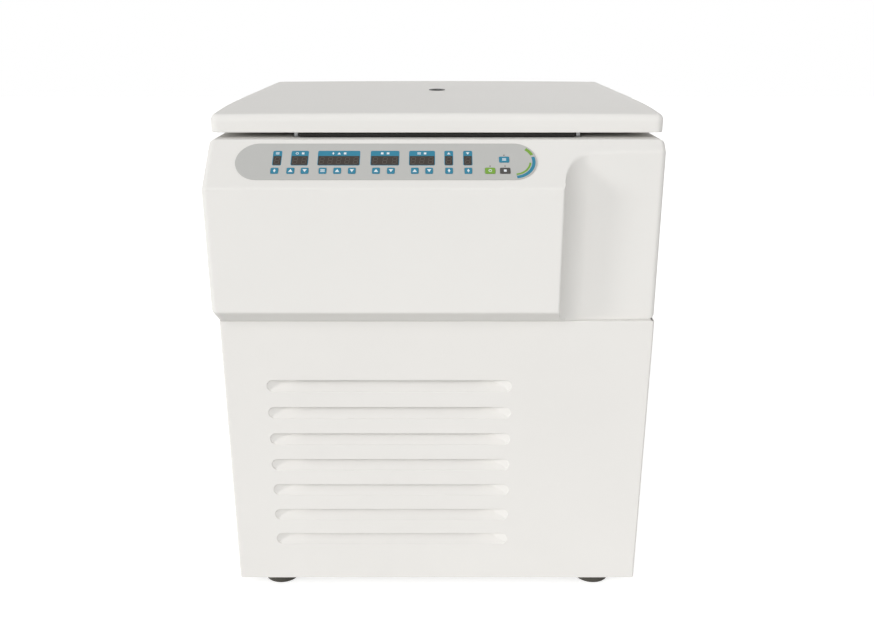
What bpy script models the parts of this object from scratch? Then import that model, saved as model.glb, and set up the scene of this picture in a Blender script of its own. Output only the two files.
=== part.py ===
# Floor-standing refrigerated low-speed centrifuge as separate solids.
# Metres, +Z up, the front faces -Y, the origin is on the floor under the middle.
from math import cos, pi, radians, sin, sqrt

import bmesh
import bpy
from mathutils import Matrix, Vector

# General fits
GAP = 0.0003
SHEET = 0.0015
OVERRUN = 0.004
WELD = 0.000002
MERGE = 0.00001

# Cabinet
CABINET_WIDTH = 0.660
CABINET_HEIGHT = 0.455
CHAMBER_FRONT_ROOM = 0.192
CHAMBER_REAR_ROOM = 0.058
FOOT_HEIGHT = 0.025
CORNER_RADIUS = 0.004
FLOOR_SHEET = 0.002
FLOOR_RIM = 0.022

# Levelling feet
FOOT_RADIUS = 0.030
FOOT_PAD = 0.011
FOOT_NUT_RADIUS = 0.011
FOOT_NUT = 0.008
FOOT_STUD_RADIUS = 0.006
FOOT_STUD = 0.022
FOOT_SIDE_INSET = 0.063
FOOT_FRONT_INSET = 0.050
FOOT_REAR_INSET = 0.050

# Louvres pressed into the front
LOUVRE_COUNT = 7
LOUVRE_LEFT_INSET = 0.0645
LOUVRE_RIGHT_INSET = 0.2135
LOUVRE_HEIGHT = 0.022
LOUVRE_PITCH = 0.0455
LOUVRE_DROP = 0.096
LOUVRE_DEPTH = 0.014
LOUVRE_AIR_GAP = 0.008

# Upper body and fascia
UPPER_OVERHANG = 0.002
UPPER_CORNER = 0.006
FASCIA_PROUD = 0.035
FASCIA_DEPTH = 0.088
FASCIA_WALL = 0.003
UNDERCUT_HEIGHT = 0.024
BAND_DROP = 0.059
BAND_SETBACK = 0.068
COVE_RADIUS = 0.040
COVE_GAP = 0.0375
CREASE_RADIUS = 0.006

# Control panel on the sloped band, measured up the slope from its lower crease
PANEL_LEFT_INSET = 0.044
PANEL_RIGHT_INSET = 0.189
PANEL_FOOT = 0.0148
PANEL_HEIGHT = 0.0666
PANEL_SHEET = 0.0007
KEY_SIZE = 0.0108
WIDE_KEY = 0.0146
KEY_PROUD = 0.0005
KEY_TRAVEL = 0.0005
KEY_ROW_SHARE = 0.243
ENTER_ROW_SHARE = 0.550
BOARD_SHEET = 0.0016
BOARD_MARGIN = 0.007
WINDOW_ROW_SHARE = 0.524
WINDOW_HEIGHT = 0.0166
KEY_NAMES = (
    "key_program", "key_rotor_up", "key_rotor_down", "key_force", "key_speed_up",
    "key_speed_down", "key_time_up", "key_time_down", "key_temperature_up", "key_temperature_down",
    "key_acceleration", "key_brake", "key_start", "key_stop", "key_enter",
)
KEY_SHARES = (
    0.1334, 0.1861, 0.2329, 0.2919, 0.3399,
    0.3882, 0.4677, 0.5165, 0.5951, 0.6425,
    0.7081, 0.7715, 0.8432, 0.8926, 0.8907,
)
WIDE_KEYS = ("key_start", "key_stop", "key_enter")
WINDOW_SHARES = (
    (0.1230, 0.1531),
    (0.1838, 0.2418),
    (0.2724, 0.4130),
    (0.4478, 0.5434),
    (0.5754, 0.6617),
    (0.6926, 0.7220),
    (0.7550, 0.7856),
)

# Lid
LID_FRONT_SETBACK = 0.0814
LID_REAR_SETBACK = 0.0238
LID_LIFT = 0.0082
LID_FACE = 0.0158
LID_THICKNESS = 0.0328
LID_WALL = 0.003
LID_CORNER = 0.012
LID_ROLL_LENGTH = 0.170
LID_ROLL_DROP = 0.0075
LID_EDGE_RADIUS = 0.0085
LID_CROWN = 0.0015
LINER_SHEET = 0.002

# Sight port over the rotor
PORT_RADIUS = 0.0145
PORT_TUBE_RADIUS = 0.0118
PORT_BORE = 0.0100
PORT_RIM = 0.0012
PORT_GLASS = 0.004

# Hinge behind the lid
HINGE_SETBACK = 0.0118
HINGE_RISE = 0.0175
HINGE_OFFSET = 0.165
HINGE_RADIUS = 0.0095
HINGE_PIN_RADIUS = 0.005
HINGE_KNUCKLE = 0.036
HINGE_LUG = 0.006
HINGE_STRIP = 0.0025
HINGE_STRIP_DEPTH = 0.018
HINGE_BAR_DEPTH = 0.034
HINGE_BAR_SHEET = 0.003
HINGE_END = 0.004
HINGE_FOOT_SHARE = 0.8

# Lid lock at the front
STRIKER_OFFSET = 0.210
STRIKER_SETBACK = 0.0336
STRIKER_SHEET = 0.005
STRIKER_WIDTH = 0.022
STRIKER_REACH = 0.040
STRIKER_SLOT_MARGIN = 0.006
LOCK_HOLE_RADIUS = 0.0055
LOCK_BOLT_RADIUS = 0.004
LOCK_TRAVEL = 0.010
LOCK_BOLT_GUIDE = 0.030
LOCK_CASE_LENGTH = 0.046
LOCK_CASE_DEPTH = 0.030
LOCK_CASE_HEIGHT = 0.030
LOCK_BAR_HEIGHT = 0.010

# Rotor chamber
SWING_CLEARANCE = 0.022
BUCKET_CLEARANCE = 0.030
BOWL_SHEET = 0.0012
BOWL_CORNER = 0.030
BOWL_FLANGE = 0.017
BOWL_MOUTH_GAP = 0.006
BOWL_COLLAR = 0.010
GASKET_INSET = 0.0045
GASKET_WIDTH = 0.010
FOAM_WALL = 0.021
FOAM_FLOOR = 0.030
FOAM_MOUTH = 0.050
COIL_TUBE = 0.004
COIL_TURNS = 5
COIL_POINTS = 24
COIL_PITCH = 0.030
COIL_MARGIN = 0.0024
CHANNEL_WIDTH = 0.020
CHANNEL_ANGLE = radians(215.0)

# Drive
PLATE_SHEET = 0.003
MOTOR_RADIUS = 0.075
MOTOR_LENGTH = 0.225
MOTOR_FLANGE_RIM = 0.025
MOTOR_FLANGE_CLEARANCE = 0.0089
MOTOR_FLANGE = 0.006
MOTOR_SWAY = 0.005
MOTOR_NOSE_RADIUS = 0.026
MOTOR_NOSE = 0.026
MOTOR_BORE_DEPTH = 0.070
ISOLATOR_HEIGHT = 0.015
SHAFT_RADIUS = 0.009
SHAFT_TIP_RADIUS = 0.006

# Swing-out rotor
PIVOT_RADIUS = 0.093
PIVOT_DEPTH = 0.0825
HUB_RADIUS = 0.030
HUB_HEIGHT = 0.050
ARM_WIDTH = 0.024
ARM_HEIGHT = 0.020
ARM_END = 0.011
PIN_RADIUS = 0.005
NUT_RADIUS = 0.017
NUT_HEIGHT = 0.022
BUCKET_RADIUS = 0.045
BUCKET_HEIGHT = 0.110
BUCKET_RISE = 0.020
BUCKET_WALL = 0.003
BUCKET_FLOOR = 0.005
EAR_DEPTH = 0.007
EAR_WIDTH = 0.022
EAR_RISE = 0.009
EAR_DROP = 0.016
EAR_ROOT = 0.006
BUCKET_COUNT = 4

# Cooling unit
COMPRESSOR_SIDE_GAP = 0.052
COMPRESSOR_REAR_GAP = 0.137
COMPRESSOR_RADIUS = 0.088
COMPRESSOR_HEIGHT = 0.223
COMPRESSOR_BASE_RADIUS = 0.070
COMPRESSOR_DOME = 0.040
COMPRESSOR_FOOT = 0.016
COMPRESSOR_PORT = 0.006
COMPRESSOR_PORT_LENGTH = 0.014
CONDENSER_INSET = 0.021
CONDENSER_HEIGHT = 0.320
CONDENSER_DEPTH = 0.042
CONDENSER_SETBACK = 0.021
FEED_SHARE = 0.75
DISCHARGE_SHARE = 0.25
SHROUD_SHEET = 0.002
SHROUD_DEPTH = 0.034
DUCT_MARGIN = 0.040
FAN_TIP_GAP = 0.006
FAN_HUB_RADIUS = 0.030
FAN_HUB_DEPTH = 0.018
FAN_BLADES = 5
FAN_BLADE_SHEET = 0.002
FAN_BLADE_WIDTH = 0.034
FAN_BLADE_TILT = radians(24.0)
FAN_MOTOR_RADIUS = 0.036
FAN_MOTOR_DEPTH = 0.045
SPOKE_WIDTH = 0.012
SPOKE_DEPTH = 0.006

# Power electronics
DRIVE_BOX_LEFT = 0.125
DRIVE_BOX_SIDE_GAP = 0.020
DRIVE_BOX_SETBACK = 0.115
DRIVE_BOX_DEPTH = 0.270
DRIVE_BOX_HEIGHT = 0.260
HEATSINK_FINS = 9
HEATSINK_FIN = 0.004
HEATSINK_RISE = 0.030

# Power module and vents on the rear panel
MODULE_SIDE_INSET = 0.115
MODULE_RISE = 0.085
MODULE_WIDTH = 0.066
MODULE_HEIGHT = 0.050
MODULE_FLANGE = 0.0047
MODULE_RIM = 0.005
MODULE_DEPTH = 0.032
SOCKET_WIDTH = 0.026
SOCKET_HEIGHT = 0.020
SOCKET_DEPTH = 0.022
SOCKET_CENTRE = -0.014
BLADE_WIDTH = 0.002
BLADE_HEIGHT = 0.005
BLADE_LENGTH = 0.017
BLADE_SPREAD = 0.007
BLADE_DROP = 0.003
ROCKER_CENTRE = 0.018
ROCKER_WIDTH = 0.013
ROCKER_HEIGHT = 0.026
ROCKER_THICKNESS = 0.009
ROCKER_DISH = 0.0022
ROCKER_BAY_DEPTH = 0.020
ROCKER_SET_BACK = 0.0045
ROCKER_TILT = radians(7.0)
VENT_ROWS = 9
VENT_COLUMNS = 2
VENT_LENGTH = 0.120
VENT_HEIGHT = 0.006
VENT_PITCH = 0.018
VENT_SPREAD = 0.150
VENT_RISE = 0.175
VENT_SIDE_INSET = 0.250

# Round pieces: sides of the polygons that stand for their circles
BIG_SIDES = 40
ROUND_SIDES = 20
SMALL_SIDES = 12
ARC_STEPS = 4
SHARP_ANGLE = radians(32.0)

# Heights worked out from the floor up: the drive and the chamber decide where the deck is
FLOOR_TOP = FOOT_HEIGHT + FLOOR_SHEET
SEAM_HEIGHT = FOOT_HEIGHT + CABINET_HEIGHT
PLATE_TOP = SEAM_HEIGHT + PLATE_SHEET
MOTOR_SEAT = PLATE_TOP + ISOLATOR_HEIGHT + 2 * GAP
FOAM_FLOOR_LOW = MOTOR_SEAT + MOTOR_FLANGE + MOTOR_FLANGE_CLEARANCE
BOWL_FLOOR = FOAM_FLOOR_LOW + FOAM_FLOOR + GAP + BOWL_SHEET
BUCKET_REACH = BUCKET_HEIGHT - BUCKET_RISE
PIVOT_HEIGHT = BOWL_FLOOR + BUCKET_CLEARANCE + BUCKET_REACH
DECK_HEIGHT = PIVOT_HEIGHT + PIVOT_DEPTH
DECK_UNDER = DECK_HEIGHT - SHEET
FLANGE_TOP = DECK_HEIGHT + GAP + BOWL_SHEET
BAND_FOOT = DECK_HEIGHT - BAND_DROP
LID_BOTTOM = DECK_HEIGHT + LID_LIFT
LID_FACE_TOP = LID_BOTTOM + LID_FACE
LID_TOP = LID_BOTTOM + LID_THICKNESS
HINGE_Z = DECK_HEIGHT + HINGE_RISE

# Chamber: the swung-out buckets decide how wide it is
BOWL_RADIUS = PIVOT_RADIUS + BUCKET_REACH + SWING_CLEARANCE
BOWL_OUTER = BOWL_RADIUS + BOWL_SHEET
BOWL_MOUTH_RADIUS = MOTOR_NOSE_RADIUS + BOWL_MOUTH_GAP
GASKET_INNER = BOWL_RADIUS + GASKET_INSET
COIL_RADIUS = BOWL_OUTER + COIL_MARGIN + COIL_TUBE
FOAM_INNER = COIL_RADIUS + COIL_TUBE + COIL_MARGIN
FOAM_RADIUS = FOAM_INNER + FOAM_WALL

# Depths worked out from the chamber, with the middle of the whole depth at zero
BODY_DEPTH = CHAMBER_FRONT_ROOM + 2 * BOWL_RADIUS + CHAMBER_REAR_ROOM
BODY_REAR = (BODY_DEPTH + FASCIA_PROUD - MODULE_FLANGE - GAP) / 2
CABINET_FRONT = BODY_REAR - BODY_DEPTH
FASCIA_FRONT = CABINET_FRONT - FASCIA_PROUD
FASCIA_REAR = FASCIA_FRONT + FASCIA_DEPTH
BAND_TOP_Y = FASCIA_FRONT + BAND_SETBACK
RECESS_Y = FASCIA_FRONT + COVE_RADIUS
PANEL_REAR = BODY_REAR - SHEET
ROTOR_Y = BODY_REAR - CHAMBER_REAR_ROOM - BOWL_RADIUS
LID_FRONT = FASCIA_FRONT + LID_FRONT_SETBACK
LID_REAR = BODY_REAR - LID_REAR_SETBACK
HINGE_Y = LID_REAR + HINGE_SETBACK
STRIKER_Y = LID_FRONT + STRIKER_SETBACK
CONDENSER_FRONT = CABINET_FRONT + CONDENSER_SETBACK
COMPRESSOR_Y = BODY_REAR - COMPRESSOR_REAR_GAP - COMPRESSOR_RADIUS
DRIVE_BOX_FRONT = CABINET_FRONT + DRIVE_BOX_SETBACK

# Widths worked out from the cabinet's
CABINET_HALF = CABINET_WIDTH / 2
UPPER_HALF = CABINET_HALF + UPPER_OVERHANG
UPPER_WIDTH = 2 * UPPER_HALF
LOUVRE_LENGTH = CABINET_WIDTH - LOUVRE_LEFT_INSET - LOUVRE_RIGHT_INSET
LOUVRE_CENTRE_X = (LOUVRE_LEFT_INSET - LOUVRE_RIGHT_INSET) / 2
LOUVRE_TOP = SEAM_HEIGHT - LOUVRE_DROP
PANEL_LEFT = PANEL_LEFT_INSET - UPPER_HALF
PANEL_WIDTH = UPPER_WIDTH - PANEL_LEFT_INSET - PANEL_RIGHT_INSET
COVE_START = PANEL_LEFT + PANEL_WIDTH + COVE_GAP
CONDENSER_WIDTH = LOUVRE_LENGTH - 2 * CONDENSER_INSET
COMPRESSOR_X = COMPRESSOR_SIDE_GAP + COMPRESSOR_RADIUS - CABINET_HALF
DRIVE_BOX_WIDTH = CABINET_HALF - DRIVE_BOX_SIDE_GAP - DRIVE_BOX_LEFT
MODULE_X = CABINET_HALF - MODULE_SIDE_INSET
VENT_CENTRE_X = VENT_SIDE_INSET - CABINET_HALF

# Other places and sizes worked out from those above
BAND_RUN = BAND_TOP_Y - FASCIA_FRONT
BAND_RISE = DECK_HEIGHT - BAND_FOOT
BAND_LENGTH = sqrt(BAND_RUN ** 2 + BAND_RISE ** 2)
MOTOR_FLANGE_RADIUS = MOTOR_RADIUS + MOTOR_FLANGE_RIM
DUCT_RADIUS = min(CONDENSER_WIDTH, CONDENSER_HEIGHT) / 2 - DUCT_MARGIN
FAN_RADIUS = DUCT_RADIUS - FAN_TIP_GAP
COMPRESSOR_TOP = FLOOR_TOP + COMPRESSOR_HEIGHT
MODULE_Z = FOOT_HEIGHT + MODULE_RISE
VENT_FOOT = FOOT_HEIGHT + VENT_RISE
HUB_TOP = PIVOT_HEIGHT + HUB_HEIGHT / 2
HUB_FOOT = PIVOT_HEIGHT - HUB_HEIGHT / 2
NUT_FOOT = HUB_TOP + GAP
EAR_FACE = BUCKET_RADIUS + EAR_DEPTH
SHROUD_FRONT = CONDENSER_FRONT + CONDENSER_DEPTH + GAP
DUCT_REAR = SHROUD_FRONT + SHROUD_DEPTH
SPOKE_FRONT = DUCT_REAR - SPOKE_DEPTH
FAN_HEIGHT = FLOOR_TOP + GAP + CONDENSER_HEIGHT / 2
LOCK_BOLT_LENGTH = LOCK_BOLT_GUIDE + LOCK_TRAVEL
LOCK_HEIGHT = DECK_HEIGHT - LOCK_CASE_HEIGHT / 2 - SHEET - GAP
MODULE_FACE = BODY_REAR + GAP + MODULE_FLANGE

# Colour, roughness and metallic value of each finish
FINISHES = {
    "white_paint": ((0.79, 0.78, 0.75), 0.42, 0.0),
    "white_moulding": ((0.77, 0.76, 0.73), 0.45, 0.0),
    "inner_paint": ((0.62, 0.61, 0.58), 0.50, 0.0),
    "stainless": ((0.62, 0.62, 0.61), 0.28, 1.0),
    "zinc_steel": ((0.55, 0.56, 0.57), 0.38, 1.0),
    "cast_aluminium": ((0.66, 0.67, 0.68), 0.42, 1.0),
    "black_rubber": ((0.035, 0.034, 0.032), 0.75, 0.0),
    "black_paint": ((0.03, 0.03, 0.03), 0.50, 0.0),
    "black_casing": ((0.03, 0.03, 0.03), 0.45, 0.0),
    "dark_foot": ((0.09, 0.085, 0.075), 0.65, 0.0),
    "copper": ((0.72, 0.38, 0.24), 0.32, 1.0),
    "foam": ((0.78, 0.70, 0.48), 0.90, 0.0),
    "panel_grey": ((0.51, 0.51, 0.49), 0.40, 0.0),
    "teal_key": ((0.05, 0.24, 0.36), 0.40, 0.0),
    "green_key": ((0.20, 0.38, 0.07), 0.40, 0.0),
    "grey_key": ((0.10, 0.10, 0.10), 0.40, 0.0),
    "board_green": ((0.02, 0.16, 0.07), 0.50, 0.0),
    "clear_glass": ((0.10, 0.12, 0.12), 0.08, 0.0),
    "black_plastic": ((0.02, 0.02, 0.02), 0.40, 0.0),
    "bucket_steel": ((0.60, 0.61, 0.62), 0.33, 1.0),
}


def clear_scene():
    for thing in list(bpy.data.objects):
        bpy.data.objects.remove(thing, do_unlink=True)


def new_collection(name):
    group = bpy.data.collections.new(name)
    bpy.context.scene.collection.children.link(group)
    return group


# Basic shapes: each returns an object that is not in a collection yet
def from_bmesh(name, shape):
    mesh = bpy.data.meshes.new(name)
    shape.to_mesh(mesh)
    shape.free()
    return bpy.data.objects.new(name, mesh)


def box(name, low, high):
    shape = bmesh.new()
    bmesh.ops.create_cube(shape, size=1.0)
    size = [top - bottom for bottom, top in zip(low, high)]
    middle = [(top + bottom) / 2 for bottom, top in zip(low, high)]
    bmesh.ops.scale(shape, vec=size, verts=shape.verts)
    bmesh.ops.translate(shape, vec=middle, verts=shape.verts)
    return from_bmesh(name, shape)


def cylinder(name, radius, start, end, sides):
    start = Vector(start)
    end = Vector(end)
    along = end - start
    turn = along.to_track_quat("Z", "Y").to_matrix().to_4x4()
    shape = bmesh.new()
    bmesh.ops.create_cone(
        shape, cap_ends=True, segments=sides, radius1=radius, radius2=radius,
        depth=along.length, matrix=Matrix.Translation((start + end) / 2) @ turn,
    )
    return from_bmesh(name, shape)


def turned(name, profile, centre, sides, closed=False):
    mesh = bpy.data.meshes.new(name)
    points = [(radius, 0.0, height) for radius, height in profile]
    edges = [(i, i + 1) for i in range(len(points) - 1)]
    if closed:
        edges.append((len(points) - 1, 0))
    mesh.from_pydata(points, edges, [])
    thing = bpy.data.objects.new(name, mesh)
    thing.location = (centre[0], centre[1], 0.0)
    screw = thing.modifiers.new("turn", "SCREW")
    screw.steps = sides
    screw.render_steps = sides
    screw.use_merge_vertices = True
    screw.merge_threshold = MERGE
    screw.use_smooth_shade = False
    return thing


PLANES = {
    "xy": Matrix(((1, 0, 0), (0, 1, 0), (0, 0, 1))),
    "yz": Matrix(((0, 0, 1), (1, 0, 0), (0, 1, 0))),
    "xz": Matrix(((1, 0, 0), (0, 0, -1), (0, 1, 0))),
}
PLANE_AXIS = {"xy": (0, 0, 1), "yz": (1, 0, 0), "xz": (0, 1, 0)}


def prism(name, outlines, plane, low, high):
    # The first outline is the edge, any others are holes in it
    curve = bpy.data.curves.new(name, "CURVE")
    curve.dimensions = "2D"
    curve.fill_mode = "BOTH"
    curve.extrude = (high - low) / 2
    for outline in outlines:
        spline = curve.splines.new("POLY")
        spline.points.add(len(outline) - 1)
        for point, place in zip(spline.points, outline):
            point.co = (place[0], place[1], 0.0, 1.0)
        spline.use_cyclic_u = True
    guide = bpy.data.objects.new(name + "_guide", curve)
    bpy.context.scene.collection.objects.link(guide)
    evaluated = guide.evaluated_get(bpy.context.evaluated_depsgraph_get())
    mesh = bpy.data.meshes.new_from_object(evaluated)
    shape = bmesh.new()
    shape.from_mesh(mesh)
    bmesh.ops.remove_doubles(shape, verts=shape.verts, dist=WELD)
    turn = PLANES[plane].to_4x4()
    along = Vector(PLANE_AXIS[plane]) * ((low + high) / 2)
    bmesh.ops.transform(shape, matrix=Matrix.Translation(along) @ turn, verts=shape.verts)
    bmesh.ops.recalc_face_normals(shape, faces=shape.faces)
    bpy.data.objects.remove(guide)
    bpy.data.meshes.remove(mesh)
    return from_bmesh(name, shape)


def tube(name, points, radius, roundness):
    curve = bpy.data.curves.new(name, "CURVE")
    curve.dimensions = "3D"
    curve.bevel_depth = radius
    curve.bevel_resolution = roundness
    curve.use_fill_caps = True
    spline = curve.splines.new("POLY")
    spline.points.add(len(points) - 1)
    for point, place in zip(spline.points, points):
        point.co = (place[0], place[1], place[2], 1.0)
    return bpy.data.objects.new(name, curve)


def copies(name, thing, offsets):
    # One mesh that holds a shifted copy of the shape for each offset
    shape = bmesh.new()
    for offset in offsets:
        before = len(shape.verts)
        shape.from_mesh(thing.data)
        shape.verts.ensure_lookup_table()
        bmesh.ops.translate(shape, vec=offset, verts=shape.verts[before:])
    bpy.data.objects.remove(thing)
    return from_bmesh(name, shape)


def turn_mesh(thing, angle, axis, centre):
    pivot = Matrix.Translation(centre)
    thing.data.transform(pivot @ Matrix.Rotation(angle, 4, axis) @ pivot.inverted())
    return thing


# Outlines
def arc(centre, radius, start, end, steps):
    angles = [start + (end - start) * i / steps for i in range(steps + 1)]
    return [(centre[0] + radius * cos(a), centre[1] + radius * sin(a)) for a in angles]


def rounded(corners, steps=ARC_STEPS):
    # Corners are (u, v, radius); a corner with a radius becomes an arc
    outline = []
    count = len(corners)
    for i, (u, v, radius) in enumerate(corners):
        corner = Vector((u, v))
        if radius <= 0:
            outline.append((u, v))
            continue
        back = (Vector(corners[i - 1][:2]) - corner).normalized()
        ahead = (Vector(corners[(i + 1) % count][:2]) - corner).normalized()
        half = back.angle(ahead) / 2
        middle = corner + (back + ahead).normalized() * (radius / sin(half))
        first = corner + back * (radius * cos(half) / sin(half)) - middle
        last = corner + ahead * (radius * cos(half) / sin(half)) - middle
        sweep = first.angle_signed(last)
        for step in range(steps + 1):
            spoke = first.copy()
            spoke.rotate(Matrix.Rotation(-sweep * step / steps, 2))
            outline.append(tuple(middle + spoke))
    return outline


def inset(outline, distance):
    # Moves every side of a closed outline inwards by the distance
    count = len(outline)
    area = sum(
        outline[i][0] * outline[(i + 1) % count][1] - outline[(i + 1) % count][0] * outline[i][1]
        for i in range(count)
    )
    turn = 1.0 if area > 0 else -1.0
    moved = []
    for i in range(count):
        here = Vector(outline[i])
        back = (here - Vector(outline[i - 1])).normalized()
        ahead = (Vector(outline[(i + 1) % count]) - here).normalized()
        normal_a = Vector((-back.y, back.x)) * turn
        normal_b = Vector((-ahead.y, ahead.x)) * turn
        mitre = normal_a + normal_b
        moved.append(tuple(here + mitre * (2 * distance / mitre.length_squared)))
    return moved


def stadium(length, height, steps):
    radius = height / 2
    half = length / 2 - radius
    right = arc((half, 0.0), radius, -pi / 2, pi / 2, steps)
    left = arc((-half, 0.0), radius, pi / 2, 3 * pi / 2, steps)
    return right + left


def rectangle(centre_u, centre_v, width, height):
    half_u = width / 2
    half_v = height / 2
    return [
        (centre_u - half_u, centre_v - half_v),
        (centre_u + half_u, centre_v - half_v),
        (centre_u + half_u, centre_v + half_v),
        (centre_u - half_u, centre_v + half_v),
    ]


def circle(centre, radius, sides):
    return arc(centre, radius, 0.0, 2 * pi, sides)[:-1]


# Joining and finishing
def combine(thing, tool, operation):
    boolean = thing.modifiers.new(operation.lower(), "BOOLEAN")
    boolean.object = tool
    boolean.operation = operation
    boolean.solver = "EXACT"
    tool.hide_render = True
    tool.display_type = "WIRE"
    CUTTERS.objects.link(tool)


def cut(thing, *tools):
    for tool in tools:
        combine(thing, tool, "DIFFERENCE")


def join(thing, *tools):
    for tool in tools:
        combine(thing, tool, "UNION")


def keep_common(thing, *tools):
    for tool in tools:
        combine(thing, tool, "INTERSECT")


def finish(thing, look):
    colour, roughness, metallic = FINISHES[look]
    material = bpy.data.materials.new(thing.name + "_" + look)
    material.use_nodes = True
    shader = material.node_tree.nodes["Principled BSDF"]
    shader.inputs["Base Color"].default_value = (*colour, 1.0)
    shader.inputs["Roughness"].default_value = roughness
    shader.inputs["Metallic"].default_value = metallic
    thing.data.materials.append(material)
    if thing.type == "MESH":
        thing.data.shade_smooth()
        thing.data.set_sharp_from_angle(angle=SHARP_ANGLE)
    PARTS.objects.link(thing)
    return thing


def move_origin(thing, point):
    # The shape stays where it is and its origin goes to the point
    thing.data.transform(Matrix.Translation(-Vector(point)))
    thing.location = point
    return thing


def rotor_centre(height):
    return (0.0, ROTOR_Y, height)


# Cabinet
def make_floor():
    half = CABINET_HALF - SHEET - GAP
    front = CABINET_FRONT + SHEET + GAP
    rear = PANEL_REAR - GAP
    top = FOOT_HEIGHT + FLOOR_RIM
    edge = CORNER_RADIUS
    outline = rounded([(-half, rear, 0), (-half, front, edge), (half, front, edge), (half, rear, 0)])
    pan = prism("base_plate", [outline], "xy", FOOT_HEIGHT, top)
    hollow = inset(outline, FLOOR_SHEET)
    cut(pan, prism("base_plate_hollow", [hollow], "xy", FLOOR_TOP, top + OVERRUN))
    radius = FOOT_STUD_RADIUS + GAP
    for name, (x, y) in foot_places().items():
        start = (x, y, FOOT_HEIGHT - OVERRUN)
        end = (x, y, FLOOR_TOP + OVERRUN)
        cut(pan, cylinder(name + "_hole", radius, start, end, SMALL_SIDES))
    finish(pan, "zinc_steel")


def foot_places():
    side = CABINET_HALF - FOOT_SIDE_INSET
    front = CABINET_FRONT + FOOT_FRONT_INSET
    rear = BODY_REAR - FOOT_REAR_INSET
    return {
        "foot_front_left": (-side, front),
        "foot_front_right": (side, front),
        "foot_rear_left": (-side, rear),
        "foot_rear_right": (side, rear),
    }


def make_feet():
    nut_top = FOOT_HEIGHT - GAP
    nut_foot = nut_top - FOOT_NUT
    pad_edge = FOOT_PAD / 4
    profile = [
        (0.0, nut_top + FOOT_STUD),
        (FOOT_STUD_RADIUS, nut_top + FOOT_STUD),
        (FOOT_STUD_RADIUS, nut_top),
        (FOOT_NUT_RADIUS, nut_top),
        (FOOT_NUT_RADIUS, nut_foot),
        (FOOT_RADIUS - pad_edge, FOOT_PAD),
        (FOOT_RADIUS, FOOT_PAD - pad_edge),
        (FOOT_RADIUS, pad_edge),
        (FOOT_RADIUS - pad_edge, 0.0),
        (0.0, 0.0),
    ]
    for name, place in foot_places().items():
        finish(turned(name, profile, place, ROUND_SIDES), "dark_foot")


def louvre_block(name, grow, front, back_step):
    # A stadium pressed inwards whose back leans from the sheet to its full depth
    length = LOUVRE_LENGTH + 2 * grow
    height = LOUVRE_HEIGHT + 2 * grow
    rear = CABINET_FRONT + SHEET + LOUVRE_DEPTH + back_step
    block = prism(name, [stadium(length, height, 2 * ARC_STEPS)], "xz", front, rear)
    shallow = CABINET_FRONT + SHEET + back_step
    for vertex in block.data.vertices:
        if vertex.co.y > (front + rear) / 2:
            share = (vertex.co.z + height / 2) / height
            vertex.co.y = shallow + (rear - shallow) * share
    return block


def louvre_offsets():
    first = LOUVRE_TOP - LOUVRE_HEIGHT / 2
    return [(LOUVRE_CENTRE_X, 0.0, first - LOUVRE_PITCH * i) for i in range(LOUVRE_COUNT)]


def make_cabinet():
    rear = PANEL_REAR - GAP
    half = CABINET_HALF
    inner = half - SHEET
    front = CABINET_FRONT
    outline = rounded([
        (-half, rear, 0), (-half, front, CORNER_RADIUS), (half, front, CORNER_RADIUS), (half, rear, 0),
        (inner, rear, 0), (inner, front + SHEET, CORNER_RADIUS - SHEET),
        (-inner, front + SHEET, CORNER_RADIUS - SHEET), (-inner, rear, 0),
    ])
    wrap = prism("cabinet_wrap", [outline], "xy", FOOT_HEIGHT, SEAM_HEIGHT - GAP)
    offsets = louvre_offsets()
    sheet_middle = front + SHEET / 2
    lean = SHEET * sqrt(1 + (LOUVRE_DEPTH / LOUVRE_HEIGHT) ** 2)
    scoop = louvre_block("louvre_scoop", SHEET, sheet_middle, lean)
    hollow = louvre_block("louvre_hollow", 0.0, front - OVERRUN, 0.0)
    air_half = LOUVRE_LENGTH / 2 - LOUVRE_HEIGHT / 2
    air_rear = front + SHEET + LOUVRE_DEPTH - SHEET
    air = box(
        "louvre_air",
        (-air_half, air_rear - LOUVRE_AIR_GAP, LOUVRE_HEIGHT / 2 - SHEET),
        (air_half, air_rear, LOUVRE_HEIGHT / 2 + SHEET + OVERRUN),
    )
    join(wrap, copies("louvre_scoops", scoop, offsets))
    cut(wrap, copies("louvre_hollows", hollow, offsets), copies("louvre_airs", air, offsets))
    finish(wrap, "white_paint")


def make_rear_panel():
    low = (-CABINET_HALF, PANEL_REAR, FOOT_HEIGHT)
    high = (CABINET_HALF, BODY_REAR, DECK_HEIGHT - UPPER_CORNER)
    panel = box("rear_panel", low, high)
    slot = box(
        "vent_slot",
        (-VENT_LENGTH / 2, PANEL_REAR - OVERRUN, -VENT_HEIGHT / 2),
        (VENT_LENGTH / 2, BODY_REAR + OVERRUN, VENT_HEIGHT / 2),
    )
    offsets = []
    for column in range(VENT_COLUMNS):
        x = VENT_CENTRE_X + VENT_SPREAD * (column - (VENT_COLUMNS - 1) / 2)
        offsets += [(x, 0.0, VENT_FOOT + VENT_PITCH * row) for row in range(VENT_ROWS)]
    half_w = MODULE_WIDTH / 2 - MODULE_RIM + GAP
    half_h = MODULE_HEIGHT / 2 - MODULE_RIM + GAP
    window = box(
        "module_window",
        (MODULE_X - half_w, PANEL_REAR - OVERRUN, MODULE_Z - half_h),
        (MODULE_X + half_w, BODY_REAR + OVERRUN, MODULE_Z + half_h),
    )
    cut(panel, copies("vent_slots", slot, offsets), window)
    finish(panel, "white_paint")


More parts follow.
